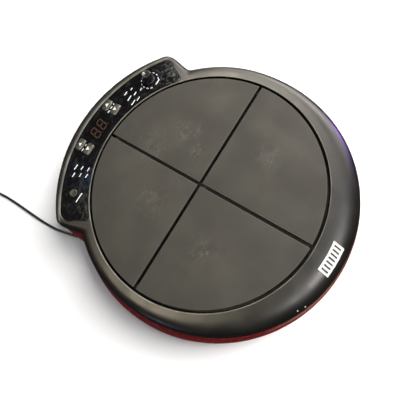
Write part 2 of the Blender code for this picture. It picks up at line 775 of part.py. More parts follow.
def case_screws(finish):
    head = POST_SHOULDER - FIT_GAP
    head_radius, head_height = SCREW_HEAD
    profile = (
        (head_radius, head - head_height),
        (head_radius, head),
        (SCREW_RADIUS, head),
        (SCREW_RADIUS, DECK_TOP),
    )
    data = mesh_of("case_screw", [lathe(profile, 10)])
    for name, at in zip(("front_left", "rear_left", "front_right", "rear_right"), POST_PLACES):
        place("case_screw_" + name, data, finish, at=(*at, 0.0))


# ---- power lead ------------------------------------------------------------------------


def smooth_points(route, spacing):
    """Points at equal spacing along a Catmull-Rom curve through the route."""
    points = [Vector(p) for p in route]
    ends = [2 * points[0] - points[1]] + points + [2 * points[-1] - points[-2]]
    fine = []
    for a, b, c, d in zip(ends, ends[1:], ends[2:], ends[3:]):
        for k in range(24):
            t = k / 24
            fine.append(
                0.5
                * (
                    2 * b
                    + (c - a) * t
                    + (2 * a - 5 * b + 4 * c - d) * t * t
                    + (3 * b - a - 3 * c + d) * t**3
                )
            )
    fine.append(points[-1])
    total = sum((q - p).length for p, q in zip(fine, fine[1:]))
    count = max(2, round(total / spacing))
    result, walked, target = [fine[0]], 0.0, total / count
    for p, q in zip(fine, fine[1:]):
        step = (q - p).length
        while walked + step >= target - 1e-9 and len(result) < count:
            result.append(p.lerp(q, (target - walked) / step))
            target += total / count
        walked += step
    result.append(fine[-1])
    return result


def lead(name, route, finish):
    data = bpy.data.curves.new(name, "CURVE")
    data.dimensions = "3D"
    data.bevel_depth = CORD_RADIUS
    data.bevel_resolution = 2
    data.use_fill_caps = True
    points = smooth_points(route, 2.4 * 2 * CORD_RADIUS)
    spline = data.splines.new("POLY")
    spline.points.add(len(points) - 1)
    for slot, point in zip(spline.points, points):
        slot.co = (*point, 1.0)
    place(name, data, finish)


def power_lead(black):
    barrel, grip, tail = 0.00275, 0.0048, 0.0023
    along = Matrix.Translation((DC_WALL + 0.0010, 0, 0)) @ Matrix.Rotation(math.pi / 2, 4, "Y")
    profile = (
        (barrel, -0.0095),
        (barrel, 0.0),
        (grip - 0.0005, 0.0),
        (grip, 0.0005),
        (grip, 0.0165),
        (tail + 0.0008, 0.0185),
        (tail, 0.0278),
    )
    piece("power_plug", turned(lathe(profile), dc_frame() @ along), black)
    lead("power_cord", CORD_ROUTE, black)
    inner, outer = COIL_RADIUS - COIL_HALF_WIDTH, COIL_RADIUS + COIL_HALF_WIDTH
    low, high, round_over = 0.0002, COIL_HEIGHT, 0.0025
    section = (
        (inner, low + round_over),
        (inner, high - round_over),
        (inner + round_over, high),
        (outer - round_over, high),
        (outer, high - round_over),
        (outer, low + round_over),
        (outer - round_over, low),
        (inner + round_over, low),
    )
    piece("cord_coil", lathe(section, 24, COIL_CENTRE), black, wrap=True)
    lead("adapter_lead", ADAPTER_ROUTE, black)
    adapter(black)


def adapter(black):
    """Wall adapter lying beside the coil, its cord out of one end and its blades to the side."""
    x, y = ADAPTER_CENTRE
    wide, deep, high = ADAPTER_SIZE
    rings = [
        rounded_rectangle(wide - 0.004, deep - 0.004, 0.004, 0.0002, (x, y)),
        rounded_rectangle(wide, deep, 0.005, 0.0022, (x, y)),
        rounded_rectangle(wide, deep, 0.005, high - 0.003, (x, y)),
        rounded_rectangle(wide - 0.004, deep - 0.004, 0.004, high, (x, y)),
    ]
    body = piece("power_adapter", rings, black)
    blades = [
        box(
            (x - wide / 2 - 0.0160, y + side * 0.0064 - 0.0008, 0.0140),
            (x - wide / 2 + 0.0020, y + side * 0.0064 + 0.0008, 0.0203),
        )
        for side in (-1, 1)
    ]
    front = Matrix.Translation((x, y - deep / 2, ADAPTER_CORD_Z))
    relief = lathe(((0.0042, -0.0010), (0.0042, 0.0015), (0.0025, 0.0127)), 16)
    relief = turned(relief, front @ Matrix.Rotation(math.pi / 2, 4, "X"))
    combine(body, cutter("add_adapter_details", [*blades, relief]), "UNION")


# ---- the whole object ------------------------------------------------------------------


def main():
    clear_scene()
    bpy.context.scene.collection.objects.link(bpy.data.objects.new("pad_centre", None))
    bpy.data.objects["pad_centre"].location = (0.0, PAD_CENTRE_Y, 0.0)

    black = material("satin_black", (0.022, 0.021, 0.020), 0.38)
    red = material("dark_red", (0.110, 0.004, 0.006), 0.35)
    gloss = material("gloss_black", (0.008, 0.008, 0.009), 0.08)
    tinted = material("tinted_window", (0.010, 0.006, 0.006), 0.06)
    rubber = material("pad_rubber", (0.055, 0.051, 0.045), 0.75)
    soft_rubber = material("foot_rubber", (0.015, 0.015, 0.015), 0.80)
    foam = material("black_foam", (0.020, 0.020, 0.020), 0.95)
    silver = material("silver_key", (0.300, 0.290, 0.270), 0.35, 0.6)
    badge = material("badge_silver", (0.620, 0.620, 0.600), 0.30, 0.7)
    steel = material("zinc_steel", (0.450, 0.450, 0.440), 0.35, 1.0)
    brass = material("piezo_brass", (0.520, 0.360, 0.110), 0.30, 1.0)
    board = material("board_green", (0.010, 0.070, 0.030), 0.45)
    grey = material("ribbon_grey", (0.250, 0.250, 0.260), 0.60)
    dark = material("matt_black", (0.018, 0.018, 0.018), 0.60)

    top_shell(black)
    bottom_shell(red)
    pad_deck(dark)
    emblem_plate(badge)
    pads(rubber, steel, brass, foam)
    panel_inlay(gloss, tinted)
    display_module(dark)
    keys(silver, dark)
    power_control(silver, dark)
    volume_control(black, steel, dark)
    boards(board, grey)
    sockets(dark)
    feet(soft_rubber)
    case_screws(steel)
    power_lead(dark)


main()
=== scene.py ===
"""Looks of the electronic drum pad: fine shells, pads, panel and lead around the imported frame.

Metres, in the frame's own coordinates. Outlines are laid out about the middle of the playing
surface, which stands at (0, PAD_CENTRE_Y).
"""

import math

import bmesh
import bpy
from mathutils import Matrix, Vector


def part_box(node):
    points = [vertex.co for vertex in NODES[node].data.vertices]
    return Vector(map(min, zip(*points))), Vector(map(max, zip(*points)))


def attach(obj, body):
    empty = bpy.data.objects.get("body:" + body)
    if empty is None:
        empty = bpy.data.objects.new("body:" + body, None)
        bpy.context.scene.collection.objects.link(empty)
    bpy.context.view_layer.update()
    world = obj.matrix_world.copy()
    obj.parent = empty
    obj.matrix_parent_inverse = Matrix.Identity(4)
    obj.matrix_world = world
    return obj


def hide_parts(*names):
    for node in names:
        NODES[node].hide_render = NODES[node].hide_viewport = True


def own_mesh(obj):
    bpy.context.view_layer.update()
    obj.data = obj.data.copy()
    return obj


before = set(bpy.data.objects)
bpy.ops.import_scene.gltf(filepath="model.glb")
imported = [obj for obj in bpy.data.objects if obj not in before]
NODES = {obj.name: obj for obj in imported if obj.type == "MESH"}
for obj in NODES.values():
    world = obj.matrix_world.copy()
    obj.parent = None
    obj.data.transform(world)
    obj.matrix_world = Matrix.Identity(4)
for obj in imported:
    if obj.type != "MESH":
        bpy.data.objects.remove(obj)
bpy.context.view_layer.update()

# ---- dimensions that the frame gives ----

PAD_LOW, PAD_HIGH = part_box("pad_rear_right")
PAD_GAP = PAD_LOW.x  # half the groove between two pads
PAD_CENTRE_Y = PAD_LOW.y - PAD_GAP
PAD_RADIUS = PAD_HIGH.x
PAD_TOP = PAD_HIGH.z
RIM_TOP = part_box("top_shell")[1].z
SEAM_GAP = 0.0003
SEAM_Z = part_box("bottom_shell")[1].z + SEAM_GAP
INLAY_BOTTOM, INLAY_TOP = (corner.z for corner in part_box("panel_inlay"))
CENTRE = Vector((0.0, PAD_CENTRE_Y, 0.0))

# ---- the case's own shape, as in the CAD source ----

WALL = 0.0030
WELL_RADIUS = 0.1293
WELL_WALL = 0.0020
WELL_BOTTOM = 0.0470
LIP_Z = 0.0210
BASE_Z = 0.0035
BOWL_INSET = 0.040
SHOULDER_POWER = 2.5
BULGE_HALF_ANGLE = 44.0
NOTCH_HALF_ANGLE = 53.5
INLAY_RADII = (0.1318, 0.1668)
INLAY_HALF_ANGLES = (47.0, 45.0)  # at its inner and outer edges
INLAY_CORNERS = (0.0042, 0.0130)
KEY_COLUMN = 0.0290
KEY_ROWS = (("up", 0.1572), ("down", 0.1438))
KEY_SIZE = (0.0150, 0.0100)
KEY_TOP = 0.0590
KEY_STEM = (0.0502, 0.0529)
KEY_FLANGE = (0.0529, 0.0541)
DISPLAY_PLACE = (-0.0010, 0.1485)
WINDOW_SIZE = (0.0310, 0.0220)
DISPLAY_HOLE = (0.0284, 0.0200)
BUTTON_PLACE = (-0.0815, 0.1265)
KNOB_PLACE = (0.0805, 0.1260)
KEY_HOLE_CORNER = 0.0022
SHELL_CLEARANCE = 0.0005
INLAY_CLEARANCE = 0.0004
BUTTON_RADIUS = 0.0048
SHAFT_HOLE_RADIUS = 0.0036
PANEL_CUT = (0.05, 0.062)  # heights that a cutter through the panel spans
SCREW_PLACES = [(x, y) for x in (-0.100, 0.100) for y in (-0.040, 0.040)]
SCREW_BORE = 0.0036
BAY_Y = 0.1570
BAY_HALF_WIDTH = 0.072
BAY_HEIGHTS = (0.0085, 0.0290)
SOCKET_Z = 0.0196
SOCKET_PITCH = 0.0155
DC_ANGLE = 142.0
DC_Z = 0.0110
DC_WALL = 0.1160
DC_RECESS_WIDTH = 0.0180
DC_RECESS_TOP = 0.0200

# ---- the lead ----

CORD_RADIUS = 0.0016
CORD_REST_Z = CORD_RADIUS + 0.0001
COIL_CENTRE = (-0.1733, 0.2990)
COIL_RADIUS = 0.0185
COIL_FLOOR = 0.0024  # middle of the lowest turns, which lie on the tie
COIL_CELLS = (
    (3, 0), (2, 0), (1, 0), (0, 0), (0, 1), (0, 2),
    (1, 2), (1, 1), (2, 1), (2, 2), (3, 2), (3, 1),
)  # column from the inside and layer from the floor, in the order they were wound
ADAPTER_CORD_Z = 0.0080

CORD_ROUTE = [
    (-0.1144, 0.0894, DC_Z),
    (-0.1178, 0.0920, 0.0107),
    (-0.1213, 0.0960, 0.0090),
    (-0.1242, 0.1015, 0.0058),
    (-0.1267, 0.1085, 0.0030),
    (-0.1290, 0.1165, 0.0018),
    (-0.1313, 0.1250, CORD_REST_Z),
    (-0.1343, 0.1350, CORD_REST_Z),
    (-0.1376, 0.1470, CORD_REST_Z),
    (-0.1404, 0.1590, CORD_REST_Z),
    (-0.1422, 0.1720, CORD_REST_Z),
    (-0.1434, 0.1870, CORD_REST_Z),
    (-0.1441, 0.2030, CORD_REST_Z),
    (-0.1445, 0.2200, CORD_REST_Z),
    (-0.1450, 0.2370, CORD_REST_Z),
    (-0.1458, 0.2530, CORD_REST_Z),
    (-0.1470, 0.2670, CORD_REST_Z),
    (-0.1485, 0.2775, CORD_REST_Z),
    (-0.1497, 0.2865, 0.0020),
]

ADAPTER_ROUTE = [
    (-0.1497, 0.3116, 0.0030),
    (-0.1500, 0.3180, 0.0044),
    (-0.1500, 0.3230, 0.0068),
    (-0.1500, 0.3285, ADAPTER_CORD_Z),
    (-0.1500, 0.3520, ADAPTER_CORD_Z),
]


# ---- camera, lights and floor ----

CAMERA_LENS = 28.47
CAMERA_SENSOR = 36.0
CAMERA_PLACE = (-0.0456, -0.1241, 0.3691)
CAMERA_TURN = (14.59, 13.00, -57.23)  # degrees
LAMP_DISTANCE = 1.6
SKY_ON_SURFACES = 0.30  # where the camera's own view of the sky is 1
SKY_IN_GLOSS = 0.04
FLOOR_REACH = 3.0


def linked(name, data):
    """A new object in the scene, made of data."""
    made = bpy.data.objects.new(name, data)
    bpy.context.scene.collection.objects.link(made)
    return made


def make_camera():
    data = bpy.data.cameras.new("camera")
    data.lens = CAMERA_LENS
    data.sensor_width = CAMERA_SENSOR
    data.clip_start = 0.01
    eye = linked("camera", data)
    eye.location = CAMERA_PLACE
    eye.rotation_euler = [math.radians(turn) for turn in CAMERA_TURN]
    bpy.context.scene.camera = eye


def softbox(name, azimuth, elevation, size, power, colour, card=True):
    """An area light aimed at the pad. Azimuth is measured from +X towards +Y, in degrees.

    A card only shows in glossy surfaces; the key lights the surfaces but doesn't show in them.
    """
    data = bpy.data.lights.new(name, "AREA")
    data.shape = "RECTANGLE"
    data.size, data.size_y = size
    data.energy = power
    data.color = colour
    light = linked(name, data)
    a, e = math.radians(azimuth), math.radians(elevation)
    away = Vector((math.cos(a) * math.cos(e), math.sin(a) * math.cos(e), math.sin(e)))
    light.location = CENTRE + away * LAMP_DISTANCE
    light.rotation_mode = "QUATERNION"
    light.rotation_quaternion = away.to_track_quat("Z", "Y")
    light.visible_diffuse = not card
    light.visible_glossy = card


def make_lights():
    softbox("key", -32, 45, (1.2, 1.1), 60, (1.0, 0.99, 0.975), card=False)
    softbox("window", 35.5, 56, (0.57, 0.40), 18.0, (1.0, 0.93, 0.79))
    softbox("low_window", 5, 27, (1.8, 0.95), 36, (1.0, 0.95, 0.86))
    softbox("pane", 4, 31, (0.50, 0.14), 5.5, (1.0, 0.95, 0.82))
    softbox("ceiling", 141, 68, (0.60, 0.46), 9.5, (1.0, 0.89, 0.66))
    softbox("shelf", 92, 58, (0.44, 0.18), 1.2, (1.0, 0.93, 0.80))
    softbox("right_wall", -8, 64, (0.60, 0.30), 2.5, (1.0, 0.96, 0.96))
    softbox("front_lamp", -87, 60, (0.50, 0.20), 14.0, (1.0, 0.95, 0.89))
    softbox("front_glint", -54, 61, (0.26, 0.16), 2.2, (0.90, 0.93, 1.0))
    softbox("stage_lamp", -21, 6, (0.20, 0.14), 8.0, (0.40, 0.16, 1.0))
    softbox("blue_lamp", 178, 14, (0.16, 0.10), 1.2, (0.66, 0.74, 1.0))
    softbox("bulb", 146, 58, (0.40, 0.05), 2.4, (1.0, 0.86, 0.62))
    softbox("screen", 96, 52, (0.10, 0.06), 0.04, (0.20, 0.45, 1.0))


def make_sky():
    """White behind the object, dimmer as light on it, and next to nothing in its reflections."""
    world = bpy.data.worlds.new("studio")
    world.use_nodes = True
    tree = world.node_tree
    sky = tree.nodes["Background"]
    sky.inputs["Color"].default_value = (0.97, 0.98, 1.0, 1.0)
    ray = tree.nodes.new("ShaderNodeLightPath")
    backdrop = tree.nodes.new("ShaderNodeMapRange")
    backdrop.inputs["To Min"].default_value = SKY_ON_SURFACES
    tree.links.new(ray.outputs["Is Camera Ray"], backdrop.inputs["Value"])
    glossy = tree.nodes.new("ShaderNodeMapRange")
    glossy.inputs["To Max"].default_value = SKY_IN_GLOSS
    tree.links.new(backdrop.outputs["Result"], glossy.inputs["To Min"])
    tree.links.new(ray.outputs["Is Glossy Ray"], glossy.inputs["Value"])
    tree.links.new(glossy.outputs["Result"], sky.inputs["Strength"])
    bpy.context.scene.world = world
    bpy.context.scene.view_settings.view_transform = "Standard"


# ---- materials ----


class Finish:
    """A node material on a Principled shader, built up one procedural layer at a time."""

    def __init__(self, name, colour, roughness, metallic=0.0, coat=0.0, specular=0.5):
        self.material = bpy.data.materials.new(name)
        self.material.use_nodes = True
        self.tree = self.material.node_tree
        self.shader = self.tree.nodes["Principled BSDF"]
        self.shader.inputs["Base Color"].default_value = (*colour, 1.0)
        self.shader.inputs["Roughness"].default_value = roughness
        self.shader.inputs["Metallic"].default_value = metallic
        self.shader.inputs["Coat Weight"].default_value = coat
        self.shader.inputs["Coat Roughness"].default_value = 0.06
        self.shader.inputs["Specular IOR Level"].default_value = specular
        self.place = self.tree.nodes.new("ShaderNodeTexCoord").outputs["Object"]

    def node(self, kind, **settings):
        made = self.tree.nodes.new(kind)
        for key, value in settings.items():
            setattr(made, key, value)
        return made

    def link(self, source, target):
        self.tree.links.new(source, target)

    def noise(self, scale, detail=3.0, stretch=(1, 1, 1), turn=0.0, distortion=0.0):
        """Noise at scale cycles per metre, stretched along an axis where stretch is below 1."""
        mapping = self.node("ShaderNodeMapping")
        mapping.inputs["Scale"].default_value = stretch
        mapping.inputs["Rotation"].default_value = (0.0, 0.0, turn)
        self.link(self.place, mapping.inputs["Vector"])
        made = self.node("ShaderNodeTexNoise")
        made.inputs["Scale"].default_value = scale
        made.inputs["Detail"].default_value = detail
        made.inputs["Distortion"].default_value = distortion
        self.link(mapping.outputs["Vector"], made.inputs["Vector"])
        return made.outputs["Fac"]

    def cells(self, scale):
        made = self.node("ShaderNodeTexVoronoi")
        made.inputs["Scale"].default_value = scale
        self.link(self.place, made.inputs["Vector"])
        return made.outputs["Distance"]

    def ramp(self, source, low, high, start=0.0, end=1.0):
        """source from low to high, turned into start to end, and held past both."""
        made = self.node("ShaderNodeMapRange", clamp=True)
        for socket, value in zip(("From Min", "From Max", "To Min", "To Max"),
                                 (low, high, start, end)):
            made.inputs[socket].default_value = value
        self.link(source, made.inputs["Value"])
        return made.outputs["Result"]

    def combine(self, operation, first, second):
        made = self.node("ShaderNodeMath", operation=operation)
        for socket, value in zip(made.inputs, (first, second)):
            if isinstance(value, float):
                socket.default_value = value
            else:
                self.link(value, socket)
        return made.outputs["Value"]

    def times(self, first, second):
        return self.combine("MULTIPLY", first, second)

    def near(self, point, radius, soft=0.5):
        """1 within radius of a point, falling to 0."""
        away = self.node("ShaderNodeVectorMath", operation="DISTANCE")
        self.link(self.place, away.inputs[0])
        away.inputs[1].default_value = point
        return self.ramp(away.outputs["Value"], radius * soft, radius, 1.0, 0.0)

    def offset(self):
        """The way to a point from the pads' upright axis, and from the table."""
        made = self.node("ShaderNodeVectorMath", operation="SUBTRACT")
        self.link(self.place, made.inputs[0])
        made.inputs[1].default_value = CENTRE
        return made.outputs["Vector"]

    def along(self, axis):
        parts = self.node("ShaderNodeSeparateXYZ")
        self.link(self.offset(), parts.inputs["Vector"])
        return parts.outputs[axis]

    def reach(self):
        """Distance from the pads' upright axis."""
        flat = self.node("ShaderNodeVectorMath", operation="MULTIPLY")
        self.link(self.offset(), flat.inputs[0])
        flat.inputs[1].default_value = (1.0, 1.0, 0.0)
        made = self.node("ShaderNodeVectorMath", operation="LENGTH")
        self.link(flat.outputs["Vector"], made.inputs[0])
        return made.outputs["Value"]

    def band(self, source, middle, half, soft):
        """1 where source is within half of the middle, falling to 0 over soft."""
        off = self.combine("ABSOLUTE", self.combine("SUBTRACT", source, middle), 0.0)
        return self.ramp(off, half, half + soft, 1.0, 0.0)

    def tint(self, share, colour):
        """Mixes a colour over the present base colour where share is above 0."""
        mix = self.node("ShaderNodeMix", data_type="RGBA")
        base = self.shader.inputs["Base Color"]
        if base.is_linked:
            self.link(base.links[0].from_socket, mix.inputs["A"])
        else:
            mix.inputs["A"].default_value = base.default_value
        mix.inputs["B"].default_value = (*colour, 1.0)
        self.link(share, mix.inputs["Factor"])
        self.link(mix.outputs["Result"], base)

    def rough(self, source):
        self.link(source, self.shader.inputs["Roughness"])

    def bump(self, height, distance, strength=1.0):
        """Adds a bump layer whose full height is distance metres."""
        made = self.node("ShaderNodeBump")
        made.inputs["Strength"].default_value = strength
        made.inputs["Distance"].default_value = distance
        self.link(height, made.inputs["Height"])
        normal = self.shader.inputs["Normal"]
        if normal.is_linked:
            self.link(normal.links[0].from_socket, made.inputs["Normal"])
        self.link(made.outputs["Normal"], normal)

    def paint_edge_highlight(self, colour):
        """Painted highlight: paler edges, from how sharply the surface bends."""
        point = self.node("ShaderNodeNewGeometry").outputs["Pointiness"]
        self.tint(self.ramp(point, 0.53, 0.60, 0.0, 0.6), colour)


def rim_point(x, y):
    """The point on top of the rim's rounding at a place laid out about the pads' centre."""
    angle, distance = math.atan2(y, x), math.hypot(x, y)
    share = (distance - FLAT(angle)) / (SEAM(angle) - FLAT(angle))
    return Vector((x, y, RIM_TOP - (RIM_TOP - SEAM_Z) * shoulder_share(share))) + CENTRE


def shell_black():
    """Satin black, with painted highlights along the moulded edges round the well and the panel's
    recess, and painted shade down the well's wall.
    """
    made = Finish("shell_black", (0.0042, 0.0036, 0.0027), 0.40)
    made.tint(made.ramp(made.noise(38, 4), 0.40, 0.70, 0.0, 0.55), (0.0068, 0.0059, 0.0045))
    smudge = made.noise(26, 5, distortion=0.8)
    fine = made.noise(2600, 2)
    reach = made.reach()
    rearward = made.combine("DIVIDE", made.along("Y"), reach)
    at_panel = made.ramp(rearward, 0.67, 0.70)
    on_top = made.ramp(made.along("Z"), RIM_TOP - 0.0012, RIM_TOP - 0.0006)
    # Painted highlight: thin pale lines where the well's edge and the recess's edges catch the
    # light.
    painted_edge_highlight = made.band(reach, WELL_RADIUS + 0.0007, 0.0002, 0.0004)
    for edge, half in ((INLAY_RADII[0] - 0.0009, 0.0005), (INLAY_RADII[1] + 0.0016, 0.0009)):
        line = made.times(made.band(reach, edge, half, 0.0007), at_panel)
        painted_edge_highlight = made.combine("MAXIMUM", painted_edge_highlight, line)
    painted_edge_highlight = made.times(painted_edge_highlight, on_top)
    uneven = made.ramp(made.noise(55, 3), 0.35, 0.65, 0.30, 0.75)
    made.tint(made.times(painted_edge_highlight, uneven), (0.170, 0.158, 0.128))
    # Painted shade: the well's wall, down in the groove round the pads, darkened.
    wall = made.times(made.ramp(reach, WELL_RADIUS + 0.0002, WELL_RADIUS + 0.0005, 1.0, 0.0),
                      made.ramp(made.along("Z"), RIM_TOP - 0.0014, RIM_TOP - 0.0006, 1.0, 0.0))
    made.tint(wall, (0.0006, 0.0005, 0.0004))
    for x, y in ((-0.057, -0.144), (-0.050, -0.148)):
        made.tint(made.near(rim_point(x, y), 0.0009), (0.62, 0.61, 0.58))
    made.rough(made.combine("ADD", made.ramp(smudge, 0.35, 0.7, 0.30, 0.42),
                            made.ramp(fine, 0.3, 0.7, 0.0, 0.06)))
    made.bump(fine, 0.000008)
    made.bump(made.noise(90, 2), 0.00002)
    return made.material


def shell_red():
    made = Finish("shell_red", (0.235, 0.0006, 0.0010), 0.30, specular=0.22)
    made.tint(made.ramp(made.noise(30, 4), 0.35, 0.7, 0.0, 0.5), (0.170, 0.0012, 0.0022))
    # Painted highlight: a pale tan band along the top of the red at the front, where the lip
    # catches the light.
    frontward = made.combine("DIVIDE", made.along("Y"), made.reach())
    painted_lip_highlight = made.times(made.ramp(frontward, -0.93, -0.80, 0.8, 0.0),
                         made.ramp(made.along("Z"), SEAM_Z - 0.0110, SEAM_Z - 0.0080))
    made.tint(painted_lip_highlight, (0.36, 0.18, 0.13))
    made.rough(made.ramp(made.noise(60, 5), 0.3, 0.7, 0.22, 0.38))
    made.bump(made.noise(2400, 2), 0.000006)
    return made.material


def pad_rubber():
    """Matt rubber with a fine stipple, broad stains, and pale scuffs where sticks have landed, a
    painted highlight along its edges and painted shade down its sides.
    """
    made = Finish("pad_rubber", (0.0285, 0.0262, 0.0205), 0.74, specular=0.35)
    stains = made.noise(21, 6, distortion=0.35)
    made.tint(made.ramp(stains, 0.44, 0.68, 0.0, 0.55), (0.0385, 0.0355, 0.0280))
    made.tint(made.ramp(made.noise(52, 5), 0.50, 0.74, 0.0, 0.45), (0.0225, 0.0195, 0.0168))
    worn = None
    spots = (
        (0.027, 0.025, 0.017), (0.043, 0.047, 0.022), (0.012, 0.074, 0.026),
        (-0.040, 0.038, 0.024), (0.058, -0.045, 0.018), (-0.055, -0.040, 0.020),
    )
    for x, y, radius in spots:
        spot = made.near((x, y + PAD_CENTRE_Y, PAD_TOP), radius, 0.15)
        worn = spot if worn is None else made.combine("MAXIMUM", worn, spot)
    pale_patch = made.times(made.ramp(made.noise(120, 4), 0.42, 0.66), worn)
    made.tint(made.times(pale_patch, 0.45), (0.0620, 0.0580, 0.0470))
    for scale, turn in ((75, 0.4), (110, 1.7)):
        bands = made.noise(scale, 1, (0.45, 1, 1), turn, 1.1)
        line = made.times(made.ramp(bands, 0.515, 0.530),
                          made.ramp(bands, 0.530, 0.545, 1.0, 0.0))
        streak = made.times(line, worn)
        made.tint(made.times(streak, 0.30), (0.150, 0.142, 0.120))
    flecks = made.ramp(made.cells(230), 0.05, 0.09, 0.30, 0.0)
    made.tint(made.times(flecks, made.ramp(made.noise(60), 0.55, 0.65)),
              (0.120, 0.114, 0.098))
    # Painted highlight: a pale line along the pads' outer edges and beside the grooves between
    # them.
    edge = made.ramp(made.reach(), PAD_RADIUS - 0.0015, PAD_RADIUS - 0.0010)
    for axis in "XY":
        across = made.combine("ABSOLUTE", made.along(axis), 0.0)
        edge = made.combine("MAXIMUM", edge, made.ramp(across, PAD_GAP + 0.0010,
                                                       PAD_GAP + 0.0015, 1.0, 0.0))
    made.tint(made.times(edge, 0.40), (0.0800, 0.0750, 0.0620))
    # Painted shade: the pads' sides, down in the grooves, darkened.
    made.tint(made.ramp(made.along("Z"), PAD_TOP - 0.0010, PAD_TOP - 0.0004, 1.0, 0.0),
              (0.0010, 0.0009, 0.0008))
    made.rough(made.ramp(stains, 0.35, 0.7, 0.80, 0.66))
    made.bump(made.noise(2100, 2), 0.00003, 0.8)
    return made.material


def panel_gloss():
    """Gloss film, finger-marked and dusty, a little wavy, with a painted pale reflection at its
    right end.
    """
    made = Finish("panel_gloss", (0.0032, 0.0033, 0.0036), 0.09)
    dust = made.noise(420, 6, distortion=0.4)
    made.tint(made.ramp(dust, 0.58, 0.74, 0.0, 0.22), (0.050, 0.050, 0.048))
    smears = made.noise(130, 5, distortion=1.5)
    made.tint(made.ramp(smears, 0.52, 0.74, 0.0, 0.18), (0.040, 0.043, 0.048))
    # Painted reflection: a pale mottled patch at the panel's right end.
    pale_patch = made.times(made.ramp(made.noise(230, 6, distortion=0.9), 0.50, 0.62),
                      made.near((0.104, 0.104 + PAD_CENTRE_Y, INLAY_TOP), 0.030, 0.25))
    made.tint(made.times(pale_patch, 0.25), (0.20, 0.21, 0.22))
    made.rough(made.ramp(smears, 0.35, 0.7, 0.03, 0.22))
    made.bump(made.noise(160, 4), 0.00016)
    return made.material


def tinted_window():
    made = Finish("tinted_window", (0.0036, 0.0026, 0.0024), 0.05)
    made.tint(made.ramp(made.noise(300, 5), 0.60, 0.8, 0.0, 0.3), (0.03, 0.026, 0.025))
    made.rough(made.ramp(made.noise(90, 4), 0.35, 0.7, 0.03, 0.14))
    return made.material


def segment_red():
    made = Finish("segment_red", (0.036, 0.015, 0.009), 0.30)
    made.tint(made.ramp(made.noise(700, 3), 0.4, 0.65, 0.0, 0.7), (0.016, 0.008, 0.006))
    return made.material


def print_white():
    made = Finish("print_white", (0.74, 0.75, 0.74), 0.45)
    made.tint(made.ramp(made.noise(1500, 4), 0.45, 0.72, 0.0, 0.6), (0.42, 0.43, 0.43))
    return made.material


def silver_paint(name, colour):
    made = Finish(name, colour, 0.24, metallic=0.6)
    made.tint(made.ramp(made.noise(260, 4), 0.42, 0.7, 0.0, 0.6), tuple(0.6 * c for c in colour))
    made.rough(made.ramp(made.noise(300, 4), 0.3, 0.7, 0.20, 0.36))
    made.bump(made.noise(4200, 2), 0.000005)
    return made.material


def knob_black():
    made = Finish("knob_black", (0.004, 0.004, 0.004), 0.30)
    made.tint(made.ramp(made.noise(400, 4), 0.45, 0.7, 0.0, 0.6), (0.012, 0.012, 0.011))
    made.rough(made.ramp(made.noise(500, 3), 0.3, 0.7, 0.22, 0.42))
    # Painted highlight on the knob's sharp rib and rim edges.
    made.paint_edge_highlight((0.030, 0.029, 0.027))
    return made.material


def badge_silver():
    made = Finish("badge_silver", (0.62, 0.62, 0.60), 0.45, specular=0.25)
    grain = made.noise(900, 3, (0.04, 1, 1))
    made.tint(made.ramp(grain, 0.40, 0.66, 0.0, 0.5), (0.46, 0.46, 0.44))
    made.rough(made.ramp(grain, 0.3, 0.7, 0.38, 0.54))
    made.bump(grain, 0.000012)
    return made.material


def brushed(name, colour, roughness, stretch=(0.05, 1, 1), scale=1100):
    made = Finish(name, colour, roughness, metallic=1.0)
    grain = made.noise(scale, 3, stretch)
    made.tint(made.ramp(grain, 0.35, 0.7, 0.0, 0.4), tuple(0.7 * c for c in colour))
    made.rough(made.ramp(grain, 0.3, 0.7, roughness - 0.08, roughness + 0.08))
    made.bump(grain, 0.00001)
    return made.material


def moulded(name, colour, roughness, grain=1800, depth=0.00002):
    """Moulded plastic with a spark-eroded grain."""
    made = Finish(name, colour, roughness)
    made.tint(made.ramp(made.noise(70, 4), 0.4, 0.7, 0.0, 0.5), tuple(1.5 * c for c in colour))
    fine = made.noise(grain, 3)
    made.rough(made.ramp(fine, 0.3, 0.7, roughness - 0.06, roughness + 0.08))
    made.bump(fine, depth)
    return made.material


def sheath():
    """PVC cord sheath: satin, faintly dusty, with a drawn grain."""
    made = Finish("cord_sheath", (0.004, 0.004, 0.004), 0.38)
    made.tint(made.ramp(made.noise(140, 5), 0.5, 0.75, 0.0, 0.5), (0.022, 0.021, 0.020))
    made.rough(made.ramp(made.noise(320, 4), 0.3, 0.7, 0.30, 0.48))
    made.bump(made.noise(1300, 2), 0.00002)
    return made.material


def open_foam():
    made = Finish("open_foam", (0.020, 0.020, 0.021), 0.95)
    pores = made.cells(900)
    made.tint(made.ramp(pores, 0.1, 0.4, 0.7, 0.0), (0.006, 0.006, 0.006))
    made.bump(pores, 0.0004)
    return made.material


def circuit_green():
    """Solder mask with darker and paler strips where copper runs under it."""
    made = Finish("circuit_green", (0.008, 0.065, 0.028), 0.34, coat=0.4)
    for turn, scale in ((0.0, 300), (math.pi / 2, 260)):
        track = made.ramp(made.noise(scale, 0.0, (0.04, 1, 1), turn), 0.56, 0.60, 0.0, 0.8)
        made.tint(track, (0.020, 0.130, 0.055))
    holes = made.ramp(made.cells(420), 0.03, 0.05, 1.0, 0.0)
    made.tint(made.times(holes, made.ramp(made.noise(80), 0.5, 0.6)),
              (0.45, 0.42, 0.36))
    made.bump(made.noise(900, 2), 0.00002)
    return made.material


def ribbon_cable():
    made = Finish("ribbon_cable", (0.26, 0.26, 0.27), 0.55)
    wires = made.node("ShaderNodeTexWave")
    wires.inputs["Scale"].default_value = 125.0
    made.link(made.place, wires.inputs["Vector"])
    made.tint(made.ramp(wires.outputs["Fac"], 0.1, 0.5, 0.7, 0.0), (0.12, 0.12, 0.125))
    made.bump(wires.outputs["Fac"], 0.0002)
    return made.material


def floor_paper():
    made = Finish("floor_paper", (0.90, 0.90, 0.90), 0.85, specular=0.15)
    made.tint(made.ramp(made.noise(9, 4), 0.35, 0.7, 0.0, 0.4), (0.885, 0.887, 0.89))
    made.bump(made.noise(700, 2), 0.00003)
    return made.material


# ---- outlines ----


